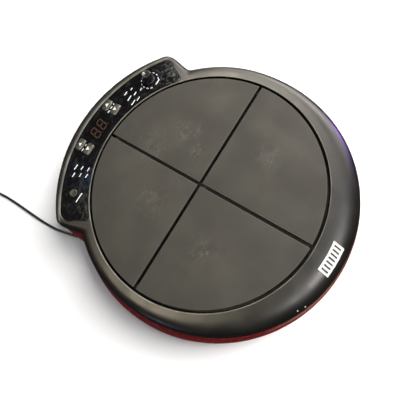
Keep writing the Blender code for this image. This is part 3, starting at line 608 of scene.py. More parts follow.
def case_outline(side, front, rear, rear_end, widen=0.0):
    """Radius of the case against the angle: a disc, deeper at the front, with a rear bulge."""

    def radius(angle):
        disc = side + (front - side) * max(0.0, -math.sin(angle)) ** 1.5
        off = abs(math.degrees(math.remainder(angle - math.pi / 2, math.tau)))
        bulge = rear - (rear - rear_end) * (off / BULGE_HALF_ANGLE) ** 2
        gone = (off - BULGE_HALF_ANGLE - widen) / (NOTCH_HALF_ANGLE - BULGE_HALF_ANGLE)
        gone = min(1.0, max(0.0, gone))
        share = 1.0 - gone * gone * (3.0 - 2.0 * gone)
        return disc + (bulge - disc) * share

    return radius


def inset(outline, amount):
    return lambda angle: outline(angle) - amount


def between(first, second, share):
    return lambda angle: first(angle) + (second(angle) - first(angle)) * share


def round_outline(radius):
    return lambda angle: radius


FLAT = case_outline(0.134, 0.134, 0.1720, 0.1700, widen=-2.0)
SEAM = case_outline(0.1475, 0.1600, 0.1800, 0.1755, widen=-0.8)
LIP = case_outline(0.1600, 0.16455, 0.1820, 0.1780, widen=0.6)


def case_angles():
    """Angles round the case, closer together where the bulge meets the round rim."""
    angles = []
    degrees = 0.0
    while degrees < 359.99:
        angles.append(math.radians(degrees))
        off = abs((degrees - 90.0 + 180.0) % 360.0 - 180.0)
        close = BULGE_HALF_ANGLE - 8 <= off < NOTCH_HALF_ANGLE + 4
        degrees += 0.75 if close else 2.0
    return angles


ANGLES = case_angles()


def case_ring(outline, z):
    return [
        Vector((outline(a) * math.cos(a), outline(a) * math.sin(a), z)) + CENTRE
        for a in ANGLES
    ]


def circle(radius, z, sides=32, centre=(0.0, 0.0)):
    turns = [math.tau * k / sides for k in range(sides)]
    return [
        Vector((centre[0] + radius * math.cos(a), centre[1] + radius * math.sin(a), z))
        for a in turns
    ]


def rounded_rectangle(width, depth, corner, z, centre=(0.0, 0.0), steps=6):
    points = []
    for quarter, (sx, sy) in enumerate(((1, 1), (-1, 1), (-1, -1), (1, -1))):
        middle_x = centre[0] + sx * (width / 2 - corner)
        middle_y = centre[1] + sy * (depth / 2 - corner)
        for k in range(steps + 1):
            a = math.radians(90.0 * (quarter + k / steps))
            points.append(
                Vector((middle_x + corner * math.cos(a), middle_y + corner * math.sin(a), z))
            )
    return points


def rounded_sector(inner, outer, half_angles, corners, z):
    """A ring sector about +Y. Half angles and corner radii are for its inner and outer ends."""
    inner_corner, outer_corner = corners
    inner_half, outer_half = half_angles
    points = []

    def add_arc(centre, radius, start, end, steps):
        for k in range(steps + 1):
            a = math.radians(start + (end - start) * k / steps)
            points.append(
                Vector((centre[0] + radius * math.cos(a), centre[1] + radius * math.sin(a), z))
            )

    def corner_middle(distance, radius, half_angle, side):
        off = half_angle - math.degrees(math.asin(radius / distance))
        a = 90.0 + side * off
        middle = (distance * math.cos(math.radians(a)), distance * math.sin(math.radians(a)))
        return middle, a

    right_outer, right_a = corner_middle(outer - outer_corner, outer_corner, outer_half, -1)
    left_outer, left_a = corner_middle(outer - outer_corner, outer_corner, outer_half, 1)
    right_inner, right_b = corner_middle(inner + inner_corner, inner_corner, inner_half, -1)
    left_inner, left_b = corner_middle(inner + inner_corner, inner_corner, inner_half, 1)
    lean = math.degrees(math.atan(inner * math.radians(inner_half - outer_half) /
                                  (outer - inner)))
    right_end = 90.0 - outer_half - lean
    left_end = 90.0 + outer_half + lean
    add_arc(right_outer, outer_corner, right_end - 90.0, right_a, 12)
    add_arc((0, 0), outer, right_a + 1, left_a - 1, 60)
    add_arc(left_outer, outer_corner, left_a, left_end + 90.0, 12)
    add_arc(left_inner, inner_corner, left_end + 90.0, left_b + 180.0, 9)
    add_arc((0, 0), inner, left_b - 1, right_b + 1, 60)
    add_arc(right_inner, inner_corner, right_b - 180.0, right_end - 90.0, 9)
    return [point + CENTRE for point in points]


# ---- meshes ----


def solid(name, solids, wrap=False):
    """A new object with one skin for each list of equal rings in solids.

    Its ends are capped, or with wrap the last ring goes back to the first.
    """
    work = bmesh.new()
    for rings in solids:
        made = [[work.verts.new(point) for point in ring] for ring in rings]
        pairs = list(zip(made, made[1:]))
        if wrap:
            pairs.append((made[-1], made[0]))
        else:
            work.faces.new(reversed(made[0]))
            work.faces.new(made[-1])
        count = len(made[0])
        for low, high in pairs:
            for k in range(count):
                after = (k + 1) % count
                work.faces.new((low[k], low[after], high[after], high[k]))
    bmesh.ops.recalc_face_normals(work, faces=work.faces[:])
    data = bpy.data.meshes.new(name)
    work.to_mesh(data)
    work.free()
    return linked(name, data)


def add(name, solids, finish, body="case", replaces=(), wrap=False, sharp=32):
    """A shown piece from lists of rings, riding on a body."""
    return dress(solid(name, solids, wrap), finish, body, replaces, sharp)


def dress(obj, finish, body="case", replaces=(), sharp=32):
    obj.data.materials.clear()
    obj.data.materials.append(finish)
    if obj.type == "MESH":
        obj.data.shade_smooth()
        obj.data.set_sharp_from_angle(angle=math.radians(sharp))
    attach(obj, body)
    if replaces:
        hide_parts(*replaces)
    return obj


def cut_by(obj, tool):
    """Takes another object out of a piece with a Boolean, and removes it."""
    step = obj.modifiers.new("cut", "BOOLEAN")
    step.operation = "DIFFERENCE"
    step.solver = "EXACT"
    step.object = tool
    graph = bpy.context.evaluated_depsgraph_get()
    result = bpy.data.meshes.new_from_object(obj.evaluated_get(graph))
    obj.modifiers.remove(step)
    obj.data = result
    bpy.data.objects.remove(tool, do_unlink=True)


def cut_with(obj, solids):
    cut_by(obj, solid("cutter", solids))


def even_normals(obj):
    step = obj.modifiers.new("even_normals", "WEIGHTED_NORMAL")
    step.keep_sharp = True
    step.weight = 100


def fix_to(piece, parent):
    piece.parent = parent
    piece.matrix_parent_inverse = parent.matrix_world.inverted()


def box(low, high):
    corners = ((0, 0), (1, 0), (1, 1), (0, 1))
    return [
        [Vector(((low, high)[i][0], (low, high)[j][1], z)) for i, j in corners]
        for z in (low[2], high[2])
    ]


def turned(rings, matrix):
    return [[matrix @ point for point in ring] for ring in rings]


def lathe(profile, sides=32, centre=(0.0, 0.0)):
    return [circle(radius, z, sides, centre) for radius, z in profile]


def slab(wide, deep, corner, levels, place, steps=6):
    """The same rounded rectangle at each level."""
    return [rounded_rectangle(wide, deep, corner, z, place, steps) for z in levels]


def stepped(wide, deep, corner, pairs, place, ease=0.6):
    """Rounded rectangles for (inset, z) pairs, each corner eased by a share of the inset."""
    return [
        rounded_rectangle(wide - 2 * back, deep - 2 * back, corner - back * ease, z, place)
        for back, z in pairs
    ]


def ribs(count, radius, z, pitch, taper, steps):
    """A profile of equal ribs: (inset, rise) steps repeated a pitch on and a taper thinner."""
    profile = []
    for _ in range(count):
        profile += [(radius - back, z + rise) for back, rise in steps]
        z += pitch
        radius -= taper
    return profile


def at_centre(place):
    """A point laid out about the pads' centre, in the frame's coordinates."""
    return (place[0], place[1] + PAD_CENTRE_Y)


def middle_of(low, high):
    return ((low.x + high.x) / 2, (low.y + high.y) / 2)


def fillet(radius, steps=4):
    """(inset, drop) pairs from the side of an edge round to its top."""
    pairs = []
    for k in range(steps + 1):
        a = math.pi / 2 * k / steps
        pairs.append((radius * (1 - math.cos(a)), radius * (1 - math.sin(a))))
    return pairs


# ---- case ----


def shoulder_share(share):
    return 1.0 - (1.0 - share**SHOULDER_POWER) ** (1.0 / SHOULDER_POWER)


def shoulder(flat, edge, top, bottom, steps):
    rings = []
    for k in range(steps + 1):
        a = math.pi / 2 * k / steps
        across = math.sin(a) ** (2.0 / SHOULDER_POWER)
        rings.append(
            case_ring(between(flat, edge, across), top - (top - bottom) * shoulder_share(across))
        )
    return rings


def panel_holes(clearance, window_size):
    """Cutters for the keys, the button, the knob's shaft and the display's window."""
    wide, deep = (size + 2 * clearance for size in KEY_SIZE)
    solids = []
    for side in (-1, 1):
        for _, row in KEY_ROWS:
            place = at_centre((side * KEY_COLUMN, row))
            solids.append(slab(wide, deep, KEY_HOLE_CORNER, PANEL_CUT, place))
    for place, radius in ((BUTTON_PLACE, BUTTON_RADIUS), (KNOB_PLACE, SHAFT_HOLE_RADIUS)):
        profile = [(radius + clearance, z) for z in PANEL_CUT]
        solids.append(lathe(profile, 32, at_centre(place)))
    solids.append(slab(*window_size, 0.001, PANEL_CUT, at_centre(DISPLAY_PLACE)))
    return solids


def inlay_ring(grow, z):
    """The inlay's outline, grown or drawn in all round, at a height."""
    inner, outer = INLAY_RADII
    half_angles = [half + math.degrees(grow / inner) for half in INLAY_HALF_ANGLES]
    corners = [corner + grow for corner in INLAY_CORNERS]
    return rounded_sector(inner - grow, outer + grow, half_angles, corners, z)


def top_shell(finish):
    well_edge, seam_lip, recess_gap, recess_bevel = 0.0010, 0.0004, 0.0003, 0.0012
    rings = [case_ring(round_outline(WELL_RADIUS), WELL_BOTTOM)]
    for back, drop in fillet(well_edge):
        rings.append(case_ring(round_outline(WELL_RADIUS + back), RIM_TOP - drop))
    rings += shoulder(FLAT, SEAM, RIM_TOP, SEAM_Z + seam_lip, 22)
    rings.append(case_ring(inset(SEAM, SEAM_GAP), SEAM_Z))
    inside = shoulder(inset(FLAT, WALL / 2), inset(SEAM, WALL), RIM_TOP - WALL, SEAM_Z, 6)
    rings += reversed(inside)
    outer_well = round_outline(WELL_RADIUS + WELL_WALL)
    rings += [case_ring(outer_well, RIM_TOP - WALL), case_ring(outer_well, WELL_BOTTOM)]
    shell = solid("top_case", [rings], wrap=True)

    recess = [
        inlay_ring(recess_gap, INLAY_BOTTOM - 0.0003), inlay_ring(recess_gap, RIM_TOP - 0.0007),
        inlay_ring(recess_bevel, RIM_TOP + 0.0001), inlay_ring(recess_bevel, RIM_TOP + 0.002),
    ]
    cut_with(shell, [recess])
    cut_with(shell, panel_holes(SHELL_CLEARANCE, DISPLAY_HOLE))
    dress(shell, finish, replaces=["top_shell"], sharp=30)
    even_normals(shell)


def bowl(outline, low, inset_at_base, steps):
    rings = []
    for k in range(steps + 1):
        a = math.pi / 2 * k / steps
        z = LIP_Z - (LIP_Z - low) * math.cos(a)
        rings.append(case_ring(inset(outline, inset_at_base * (1.0 - math.sin(a))), z))
    return rings


def skirt(lip, seam, top, steps):
    """Rings from the lip up to the seam: a straight slope that starts upright at its foot."""
    foot = 0.12
    rings = []
    for k in range(1, steps + 1):
        rise = k / steps
        share = (math.hypot(rise, foot) - foot) / (math.hypot(1.0, foot) - foot)
        rings.append(case_ring(between(lip, seam, share), LIP_Z + (top - LIP_Z) * rise))
    return rings


def dc_frame():
    turn = Matrix.Rotation(math.radians(DC_ANGLE), 4, "Z")
    return Matrix.Translation(CENTRE) @ turn @ Matrix.Translation((0, 0, DC_Z))


def socket_frames(quarter):
    """Places of the bay's sockets: their axes point forwards for 1 quarter, outwards for -1."""
    turn = Matrix.Rotation(quarter * math.pi / 2, 4, "X")
    return [Matrix.Translation((SOCKET_PITCH * k, BAY_Y + PAD_CENTRE_Y, SOCKET_Z)) @ turn
            for k in range(-3, 4)]


def bottom_hollow():
    """The inside of the bottom shell, before the walls of its recesses are taken out."""
    inner_lip, inner_seam = inset(LIP, WALL), inset(SEAM, WALL)
    inside = bowl(inner_lip, BASE_Z + WALL, BOWL_INSET, 7)
    inside += [case_ring(inner_seam, SEAM_Z - WALL), case_ring(inner_seam, SEAM_Z + WALL)]
    return solid("hollow", [inside])


def bottom_shell(finish):
    rings = bowl(LIP, BASE_Z, BOWL_INSET, 16) + skirt(LIP, SEAM, SEAM_Z - SEAM_GAP, 12)
    shell = solid("bottom_case", [rings])
    hollow = bottom_hollow()

    low, high = BAY_HEIGHTS
    bay_y = BAY_Y + PAD_CENTRE_Y
    outside, further, below = 0.20, 0.21, -0.02
    bay = box((-BAY_HALF_WIDTH, bay_y, low), (BAY_HALF_WIDTH, outside, high))
    bay_wall = box((-BAY_HALF_WIDTH - WALL, bay_y - WALL, low - WALL - 0.001),
                   (BAY_HALF_WIDTH + WALL, further, high + WALL))
    half, above = DC_RECESS_WIDTH / 2, DC_RECESS_TOP - DC_Z
    recess = box((DC_WALL, -half, below), (outside, half, above))
    recess_wall = box((DC_WALL - WALL, -half - WALL, below), (further, half + WALL, above + WALL))
    cut_with(hollow, [bay_wall])
    cut_with(hollow, [turned(recess_wall, dc_frame())])
    cut_with(shell, [bay])
    cut_with(shell, [turned(recess, dc_frame())])
    cut_by(shell, hollow)

    socket_bore, plug_bore, depth = 0.0048, 0.0044, 0.006
    bores = [lathe(((SCREW_BORE, -0.001), (SCREW_BORE, 0.0090)), 24, at_centre(place))
             for place in SCREW_PLACES]
    for across in socket_frames(1):
        bores.append(turned(lathe(((socket_bore, -depth), (socket_bore, depth))), across))
    out = dc_frame() @ Matrix.Translation((DC_WALL, 0, 0)) @ Matrix.Rotation(math.pi / 2, 4, "Y")
    bores.append(turned(lathe(((plug_bore, -depth), (plug_bore, depth))), out))
    cut_with(shell, bores)
    dress(shell, finish, replaces=["bottom_shell"], sharp=30)
    even_normals(shell)

    post, pilot, foot_z, head_z, top_z = 0.0055, 0.0018, 0.0040, 0.0350, 0.0434
    profile = ((SCREW_BORE, foot_z), (post, foot_z), (post, top_z), (pilot, top_z),
               (pilot, head_z), (SCREW_BORE, head_z))
    posts = [lathe(profile, 24, at_centre(place)) for place in SCREW_PLACES]
    add("screw_posts", posts, finish, wrap=True)


def emblem(finish, dark):
    """A plain silver plate with a row of dark bars, laid on the slope of the front rim."""
    half_width, near, far, slant = 0.0152, 0.1417, 0.1528, -0.17
    bar_count, bar_pitch, bar_half, margin = 7, 0.0040, 0.0008, 0.0022
    first_bar = -(bar_count - 1) * bar_pitch / 2

    def surface(x, reach, lift):
        angle = -math.pi / 2 + x / reach
        share = (reach - FLAT(angle)) / (SEAM(angle) - FLAT(angle))
        z = RIM_TOP - (RIM_TOP - SEAM_Z) * shoulder_share(share) + lift
        return Vector((reach * math.cos(angle), reach * math.sin(angle), z)) + CENTRE

    def plate(x_low, x_high, y_low, y_high, low, high, columns, rows):
        reaches = [y_low + (y_high - y_low) * j / rows for j in range(rows + 1)]
        sections = []
        for k in range(columns + 1):
            base = x_low + (x_high - x_low) * k / columns
            section = [surface(base + slant * (r - near), r, low) for r in reaches]
            section += [surface(base + slant * (r - near), r, high) for r in reversed(reaches)]
            sections.append(section)
        return sections

    ground = plate(-half_width, half_width, near, far, 0.0004, 0.0008, 28, 10)
    add("emblem", [ground], finish, replaces=["emblem_plate"])
    bars = []
    for k in range(bar_count):
        x = first_bar + k * bar_pitch
        bars.append(plate(x - bar_half, x + bar_half, near + margin, far - margin, 0.0006,
                          0.0011, 3, 6))
    add("emblem_bars", bars, dark)


# ---- playing surface ----

PADS = ("rear_right", "rear_left", "front_left", "front_right")


def quadrant(radius, gap, z, turn, corner):
    """A quarter disc turned a number of quarters, its sides gap from the axes."""
    corner_steps, steps = 6, 64
    reach = math.asin(gap / radius)
    middle = gap + corner
    points = []
    for k in range(corner_steps + 1):
        a = math.radians(180 + 90 * k / corner_steps)
        points.append((middle + corner * math.cos(a), middle + corner * math.sin(a)))
    for k in range(steps + 1):
        a = reach + (math.pi / 2 - 2 * reach) * k / steps
        points.append((radius * math.cos(a), radius * math.sin(a)))
    spin = Matrix.Rotation(turn * math.pi / 2, 4, "Z")
    return [spin @ Vector((x, y, z)) + CENTRE for x, y in points]


def pads(rubber, foam):
    edge, relief, corner = 0.0006, 0.0005, 0.0008
    foam_radius, foam_gap, foam_corner, piezo_hole, piezo_off = 0.1220, 0.0040, 0.002, 0.0170, 0.051
    foam_bulge = ((0.0, 0.0012), (0.12, 0.0003), (0.5, 0.0), (0.88, 0.0003), (1.0, 0.0012))
    gap, radius = PAD_GAP + relief, PAD_RADIUS - relief
    for turn, name in enumerate(PADS):
        rings = [quadrant(radius, gap, PAD_LOW.z, turn, corner)]
        for back, drop in fillet(edge, 5):
            rings.append(quadrant(radius - back, gap + back, PAD_TOP - drop, turn, corner))
        add("rubber_" + name, [rings], rubber, "pad_" + name + "_mover",
            ["pad_" + name])

        low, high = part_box("foam_cushion_" + name)
        thick = high.z - low.z
        rings = [
            quadrant(foam_radius - back, foam_gap + back, low.z + share * thick, turn, foam_corner)
            for share, back in foam_bulge
        ]
        cushion = solid("foam_" + name, [rings])
        spin = Matrix.Rotation(turn * math.pi / 2, 4, "Z")
        spot = spin @ Vector((piezo_off, piezo_off, 0)) + CENTRE
        cut_with(cushion, [lathe(((piezo_hole, 0.040), (piezo_hole, 0.056)), 32, spot[:2])])
        dress(cushion, foam, "case", ["foam_cushion_" + name])
        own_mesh(cushion)


# ---- control panel ----


def panel(gloss, tinted, red):
    bevel, window_gap, window_bevel = 0.0003, 0.0006, 0.0002
    rings = [
        inlay_ring(0.0, INLAY_BOTTOM), inlay_ring(0.0, INLAY_TOP - bevel),
        inlay_ring(-bevel * 0.3, INLAY_TOP - bevel * 0.3), inlay_ring(-bevel, INLAY_TOP),
    ]
    inlay = solid("gloss_panel", [rings])
    window_hole = [size + window_gap for size in WINDOW_SIZE]
    cut_with(inlay, panel_holes(INLAY_CLEARANCE, window_hole))
    dress(inlay, gloss, replaces=["panel_inlay"], sharp=30)
    even_normals(inlay)

    levels = ((0.0, INLAY_BOTTOM), (0.0, INLAY_TOP - window_bevel), (window_bevel, INLAY_TOP))
    window = stepped(*WINDOW_SIZE, 0.0008, levels, at_centre(DISPLAY_PLACE), ease=0.0)
    add("smoked_window", [window], tinted, replaces=["display_window"])
    digits(red)


def digits(red):
    """Two seven-segment figures and their points, unlit, just above the window."""
    height, width, thick, gap, slant = 0.0142, 0.0074, 0.0017, 0.00025, math.tan(math.radians(8))
    columns, point_radius, point_gap = (-0.00635, 0.00635), 0.0007, 0.0020
    levels = (INLAY_TOP + 0.00001, INLAY_TOP + 0.00004)
    half, side, tip = height / 2, width / 2, thick / 2
    across = [(0, y, (side - gap, 1)) for y in (half, 0, -half)]
    upright = [(x, y, (half / 2 - gap, 0)) for y in (half / 2, -half / 2) for x in (-side, side)]
    solids = []
    for column in columns:
        for x, y, (reach, lies) in across + upright:
            outline = [(-reach, 0), (-reach + tip, -tip), (reach - tip, -tip), (reach, 0),
                       (reach - tip, tip), (-reach + tip, tip)]
            if not lies:
                outline = [(-b, a) for a, b in outline]
            solids.append([
                [Vector((column + x + a + slant * (y + b), y + b, z)) for a, b in outline]
                for z in levels
            ])
    for column in columns:
        place = (column + side + point_gap - slant * half, -half)
        solids.append([circle(point_radius, z, 12, place) for z in levels])
    x, y = at_centre(DISPLAY_PLACE)
    shift = Matrix.Translation((x - 0.0002, y, 0))
    add("display_segments", [turned(rings, shift) for rings in solids], red)


def panel_marks(white):
    """Plain bars in place of the printed words, and the ring of arcs round the volume knob."""
    levels = (INLAY_TOP + 0.00001, INLAY_TOP + 0.00005)
    bar_tall, dash_tall, dash_y = 0.0013, 0.0011, 0.1505
    bars = [
        (-0.0550, 0.1445, 0.0070), (-0.0638, 0.1410, 0.0055), (-0.0520, 0.1365, 0.0050),
        (-0.0600, 0.1330, 0.0050), (-0.0495, 0.1280, 0.0050), (-0.0570, 0.1250, 0.0050),
        (0.0528, 0.1445, 0.0055), (0.0610, 0.1410, 0.0038), (0.0495, 0.1360, 0.0078),
        (0.0578, 0.1330, 0.0053), (0.0660, 0.1295, 0.0040), (0.0468, 0.1280, 0.0075),
        (0.0538, 0.1250, 0.0055), (-0.0825, 0.1170, 0.0125), (0.0830, 0.1155, 0.0080),
    ]
    dashes = [(-0.0330, 0.0038), (-0.0265, 0.0028), (0.0230, 0.0038), (0.0290, 0.0038),
              (0.0340, 0.0020)]
    solids = [slab(wide, bar_tall, 0.0003, levels, at_centre((x, y)), 2) for x, y, wide in bars]
    for x, wide in dashes:
        solids.append(slab(wide, dash_tall, 0.0002, levels, at_centre((x, dash_y)), 2))

    knob = Vector((*at_centre(KNOB_PLACE), 0.0))
    arcs, inner, outer, opening, arc_width = 11, 0.0104, 0.0113, 84.0, 14.4
    for k in range(arcs):
        middle = -90.0 + opening / 2 + (360.0 - opening) * k / (arcs - 1)
        ends = [math.radians(middle + arc_width * (j / 4 - 0.5)) for j in range(5)]
        outline = [(outer * math.cos(a), outer * math.sin(a)) for a in ends]
        outline += [(inner * math.cos(a), inner * math.sin(a)) for a in reversed(ends)]
        solids.append([[knob + Vector((x, y, z)) for x, y in outline] for z in levels])
    add("panel_print", solids, white)


def keys(silver, white):
    for side, column in (("left", -KEY_COLUMN), ("right", KEY_COLUMN)):
        for row, y in KEY_ROWS:
            key(f"{side}_{row}_key", at_centre((column, y)), 1 if row == "up" else -1,
                silver, white)


def key(name, place, way, silver, white):
    """A key's cap on its stem and flange, with a slightly domed top and an arrow on it."""
    width, depth = KEY_SIZE
    stem, round_edge, dome = 0.0050, 0.0014, 0.0004
    top = KEY_TOP - dome
    rings = slab(stem, stem, 0.001, KEY_STEM, place)
    rings += slab(width + 0.0030, depth + 0.0026, 0.002, KEY_FLANGE, place)
    edge = [(back, top - drop) for back, drop in fillet(round_edge, 5)]
    rings += stepped(width, depth, 0.0028, [(0.0, KEY_FLANGE[1])] + edge, place)
    for share in (0.72, 0.45, 0.18):
        wide, deep = (width - 2 * round_edge) * share, (depth - 2 * round_edge) * share
        rings.append(rounded_rectangle(wide, deep, 0.0019 * share, top + dome * (1 - share**2),
                                       place))
    add(name + "_cap", [rings], silver, name + "_mover", [name], sharp=50)

    outline = [(-0.0024, -0.0017 * way), (0.0024, -0.0017 * way), (0.0, 0.0021 * way)]
    arrow = [[Vector((place[0] + a, place[1] + b, z)) for a, b in outline]
             for z in (top + 0.0001, KEY_TOP + 0.00004)]
    add(name + "_arrow", [arrow], white, name + "_mover")


def power_button(silver):
    """A round cap on its stem and flange, with a dished top."""
    cap, stem, flange = BUTTON_RADIUS, 0.0022, BUTTON_RADIUS + 0.0016
    profile = [(stem, z) for z in KEY_STEM] + [(flange, z) for z in KEY_FLANGE]
    profile.append((cap, KEY_FLANGE[1]))
    profile += [(cap - back, KEY_TOP - 0.0002 - drop) for back, drop in fillet(0.0008, 4)]
    profile += [(cap - 0.0013, KEY_TOP - 0.0003), (cap - 0.0016, KEY_TOP - 0.0007),
                (cap - 0.0022, KEY_TOP - 0.0008), (cap - 0.0040, KEY_TOP - 0.0008)]
    add("power_button_cap", [lathe(profile, 40, at_centre(BUTTON_PLACE))], silver,
        "power_button_mover", ["power_button"])


def volume_knob(black, white):
    """A ribbed knob, hollow below, with a pointer line on its top."""
    place = at_centre(KNOB_PLACE)
    bottom, top = (corner.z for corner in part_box("volume_knob"))
    skirt, bore, ribs_round, points_per_rib = 0.0068, 0.0031, 24, 6

    def ribbed(radius, z, depth):
        points = []
        count = ribs_round * points_per_rib
        for a in (math.tau * k / count for k in range(count)):
            r = radius - depth * (0.5 - 0.5 * math.cos(ribs_round * a)) ** 2
            points.append(Vector((place[0] + r * math.cos(a), place[1] + r * math.sin(a), z)))
        return points

    profile = (
        (bore, top - 0.0030, 0), (bore, bottom, 0), (skirt - 0.0002, bottom, 0),
        (skirt, bottom + 0.0002, 0), (skirt, bottom + 0.0012, 0),
        (skirt - 0.0003, bottom + 0.0016, 0), (skirt - 0.0007, bottom + 0.0020, 0.0003),
        (skirt - 0.0011, top - 0.0016, 0.0004), (skirt - 0.0013, top - 0.0009, 0.0004),
        (skirt - 0.0017, top - 0.0003, 0.0001), (skirt - 0.0023, top, 0),
        (skirt - 0.0030, top - 0.0002, 0), (0.0010, top - 0.0005, 0),
    )
    add("volume_knob_cap", [[ribbed(*step) for step in profile]], black, "volume_knob_mover",
        ["volume_knob"])
    line = slab(0.0008, 0.0032, 0.0003, (top - 0.0006, top), (place[0], place[1] + 0.0026), 3)
    add("volume_knob_line", [line], white, "volume_knob_mover")


# ---- sockets, feet and screws ----


def nut_ring(radius, z, corners):
    """A ring of 36 points: a hexagon with this corner radius, or a circle."""
    points = circle(radius, z, 36)
    if not corners:
        return points
    sixth = math.pi / 3
    for k, point in enumerate(points):
        a = math.tau * k / len(points)
        point.xy *= math.cos(sixth / 2) / math.cos(a % sixth - sixth / 2)
    return points


def socket_fittings(steel):
    """A hexagon nut and a washer round each socket's sleeve in the rear bay."""
    bore, washer, nut, bevelled = 0.00465, 0.0066, 0.0060, 0.0055
    washer_profile = ((bore, 0.00005), (washer, 0.00005), (washer, 0.0004), (bore, 0.0004))
    nut_profile = ((bore, 0.00045, False), (nut, 0.00045, True), (nut, 0.0010, True),
                   (bevelled, 0.0012, True), (bore, 0.0012, False))
    washers, nuts = [], []
    for out in socket_frames(-1):
        washers.append(turned(lathe(washer_profile, 40), out))
        nuts.append(turned([nut_ring(*step) for step in nut_profile], out))
    add("socket_washers", washers, steel, wrap=True)
    add("socket_nuts", nuts, steel, wrap=True)


def feet(rubber):
    for name in ("front_left", "rear_left", "front_right", "rear_right"):
        low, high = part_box("foot_" + name)
        radius = (high.x - low.x) / 2
        profile = [(0.0018, 0.0006), (0.0022, 0.0), (0.0052, 0.0), (0.0056, 0.0005),
                   (0.0064, 0.0005), (0.0068, 0.0), (radius - 0.0012, 0.0),
                   (radius - 0.0004, 0.0003), (radius, 0.0010), (radius, high.z)]
        add("rubber_foot_" + name, [lathe(profile, 40, middle_of(low, high))], rubber,
            replaces=["foot_" + name])


def screws(steel):
    """Pan-head screws with a cross recess, deep in the posts."""
    shank, thread, half_pitch = 0.0014, 0.0003, 0.0003
    slot_long, slot_wide, slot_deep = 0.0030, 0.0007, 0.0012
    for name in ("front_left", "rear_left", "front_right", "rear_right"):
        low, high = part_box("case_screw_" + name)
        place = middle_of(low, high)
        profile = [(0.0012, low.z), (0.0020, low.z + 0.0002), (0.0026, low.z + 0.0007),
                   (0.0028, low.z + 0.0013), (0.0028, low.z + 0.0024), (shank, low.z + 0.0024)]
        z = low.z + 0.0028
        while z < high.z - 0.0008:
            profile += [(shank, z), (shank - thread, z + half_pitch)]
            z += 2 * half_pitch
        profile.append((shank - thread, high.z))
        screw = solid("screw_" + name, [lathe(profile, 24, place)])
        levels = (low.z - 0.001, low.z + slot_deep)
        for wide, deep in ((slot_long, slot_wide), (slot_wide, slot_long)):
            cut_with(screw, [slab(wide, deep, 0.0001, levels, place, 1)])
        dress(screw, steel, replaces=["case_screw_" + name])


# ---- power lead ----


def smooth_points(route, spacing):
    """Points at equal spacing along a Catmull-Rom curve through the route."""
    points = [Vector(p) for p in route]
    ends = [2 * points[0] - points[1]] + points + [2 * points[-1] - points[-2]]
    fine = []
    for a, b, c, d in zip(ends, ends[1:], ends[2:], ends[3:]):
        for k in range(12):
            t = k / 12
            fine.append(0.5 * (2 * b + (c - a) * t + (2 * a - 5 * b + 4 * c - d) * t * t
                               + (3 * b - a - 3 * c + d) * t**3))
    fine.append(points[-1])
    total = sum((q - p).length for p, q in zip(fine, fine[1:]))
    count = max(2, round(total / spacing))
    result, walked, target = [fine[0]], 0.0, total / count
    for p, q in zip(fine, fine[1:]):
        step = (q - p).length
        while walked + step >= target - 1e-9 and len(result) < count:
            result.append(p.lerp(q, (target - walked) / step))
            target += total / count
        walked += step
    result.append(fine[-1])
    return result


def coil_points():
    """Eleven turns wound through twelve cells, each turn shifting to the next cell in passing."""
    pitch = 2 * CORD_RADIUS
    columns = [COIL_RADIUS + (k - 1.5) * pitch for k in range(4)]
    shift_width, first_shift, stagger = 25.0, 318.0, 25.0
    steps_per_turn, turns = 30, len(COIL_CELLS) - 1
    points = []
    for k in range(steps_per_turn * turns + 1):
        angle = 360.0 * k / steps_per_turn
        cell = 0.0
        for shift in range(turns):
            start = 360.0 * shift + first_shift - stagger * shift
            share = min(1.0, max(0.0, (angle - start) / shift_width))
            cell += share * share * (3 - 2 * share)
        low = min(int(cell), len(COIL_CELLS) - 2)
        share = cell - low
        (column, layer), (next_column, next_layer) = COIL_CELLS[low], COIL_CELLS[low + 1]
        radius = columns[column] + (columns[next_column] - columns[column]) * share
        z = COIL_FLOOR + pitch * (layer + (next_layer - layer) * share)
        a = math.radians(angle)
        points.append((COIL_CENTRE[0] + radius * math.cos(a),
                       COIL_CENTRE[1] + radius * math.sin(a), z))
    return points


def power_lead(black, pvc, steel, tie_finish):
    route = CORD_ROUTE + coil_points() + ADAPTER_ROUTE
    points = [point + CENTRE for point in smooth_points(route, 0.0012)]
    data = bpy.data.curves.new("power_lead", "CURVE")
    data.dimensions = "3D"
    data.bevel_depth = CORD_RADIUS
    data.bevel_resolution = 4
    data.use_fill_caps = True
    spline = data.splines.new("POLY")
    spline.points.add(len(points) - 1)
    for slot, point in zip(spline.points, points):
        slot.co = (*point, 1.0)
    spline.use_smooth = True
    cord = linked("power_lead", data)
    dress(cord, pvc, replaces=["power_cord", "cord_coil", "adapter_lead"])
    plug = power_plug(pvc, steel)
    adapter, blades = power_adapter(black, steel)
    tie = cord_tie(tie_finish)


def power_plug(pvc, steel):
    """Moulded plug with finger ribs and a segmented strain relief."""
    barrel, grip, tail = 0.00275, 0.0048, 0.0023
    profile = [(grip - 0.0009, 0.0), (grip - 0.0002, 0.0004), (grip, 0.0010)]
    profile += ribs(6, grip, 0.0032, 0.0021, 0.0,
                    ((0.0, 0.0), (0.0005, 0.0004), (0.0005, 0.0011), (0.0, 0.0015)))
    profile += [(grip, 0.0166), (grip - 0.0006, 0.0173)]
    profile += ribs(5, tail + 0.0010, 0.0178, 0.0020, 0.0001,
                    ((0.0, 0.0), (0.0, 0.0013), (0.0007, 0.0014), (0.0007, 0.0019)))
    profile.append((tail - 0.0004, 0.0278))
    tip = [(0.0010, -0.0095), (barrel - 0.0002, -0.0095), (barrel, -0.0092), (barrel, 0.0001)]
    along = dc_frame() @ Matrix.Translation((DC_WALL + 0.0010, 0, 0))
    along = along @ Matrix.Rotation(math.pi / 2, 4, "Y")
    plug = add("plug_body", [turned(lathe(profile), along)], pvc,
               replaces=["power_plug"])
    fix_to(add("plug_barrel", [turned(lathe(tip), along)], steel), plug)
    return plug


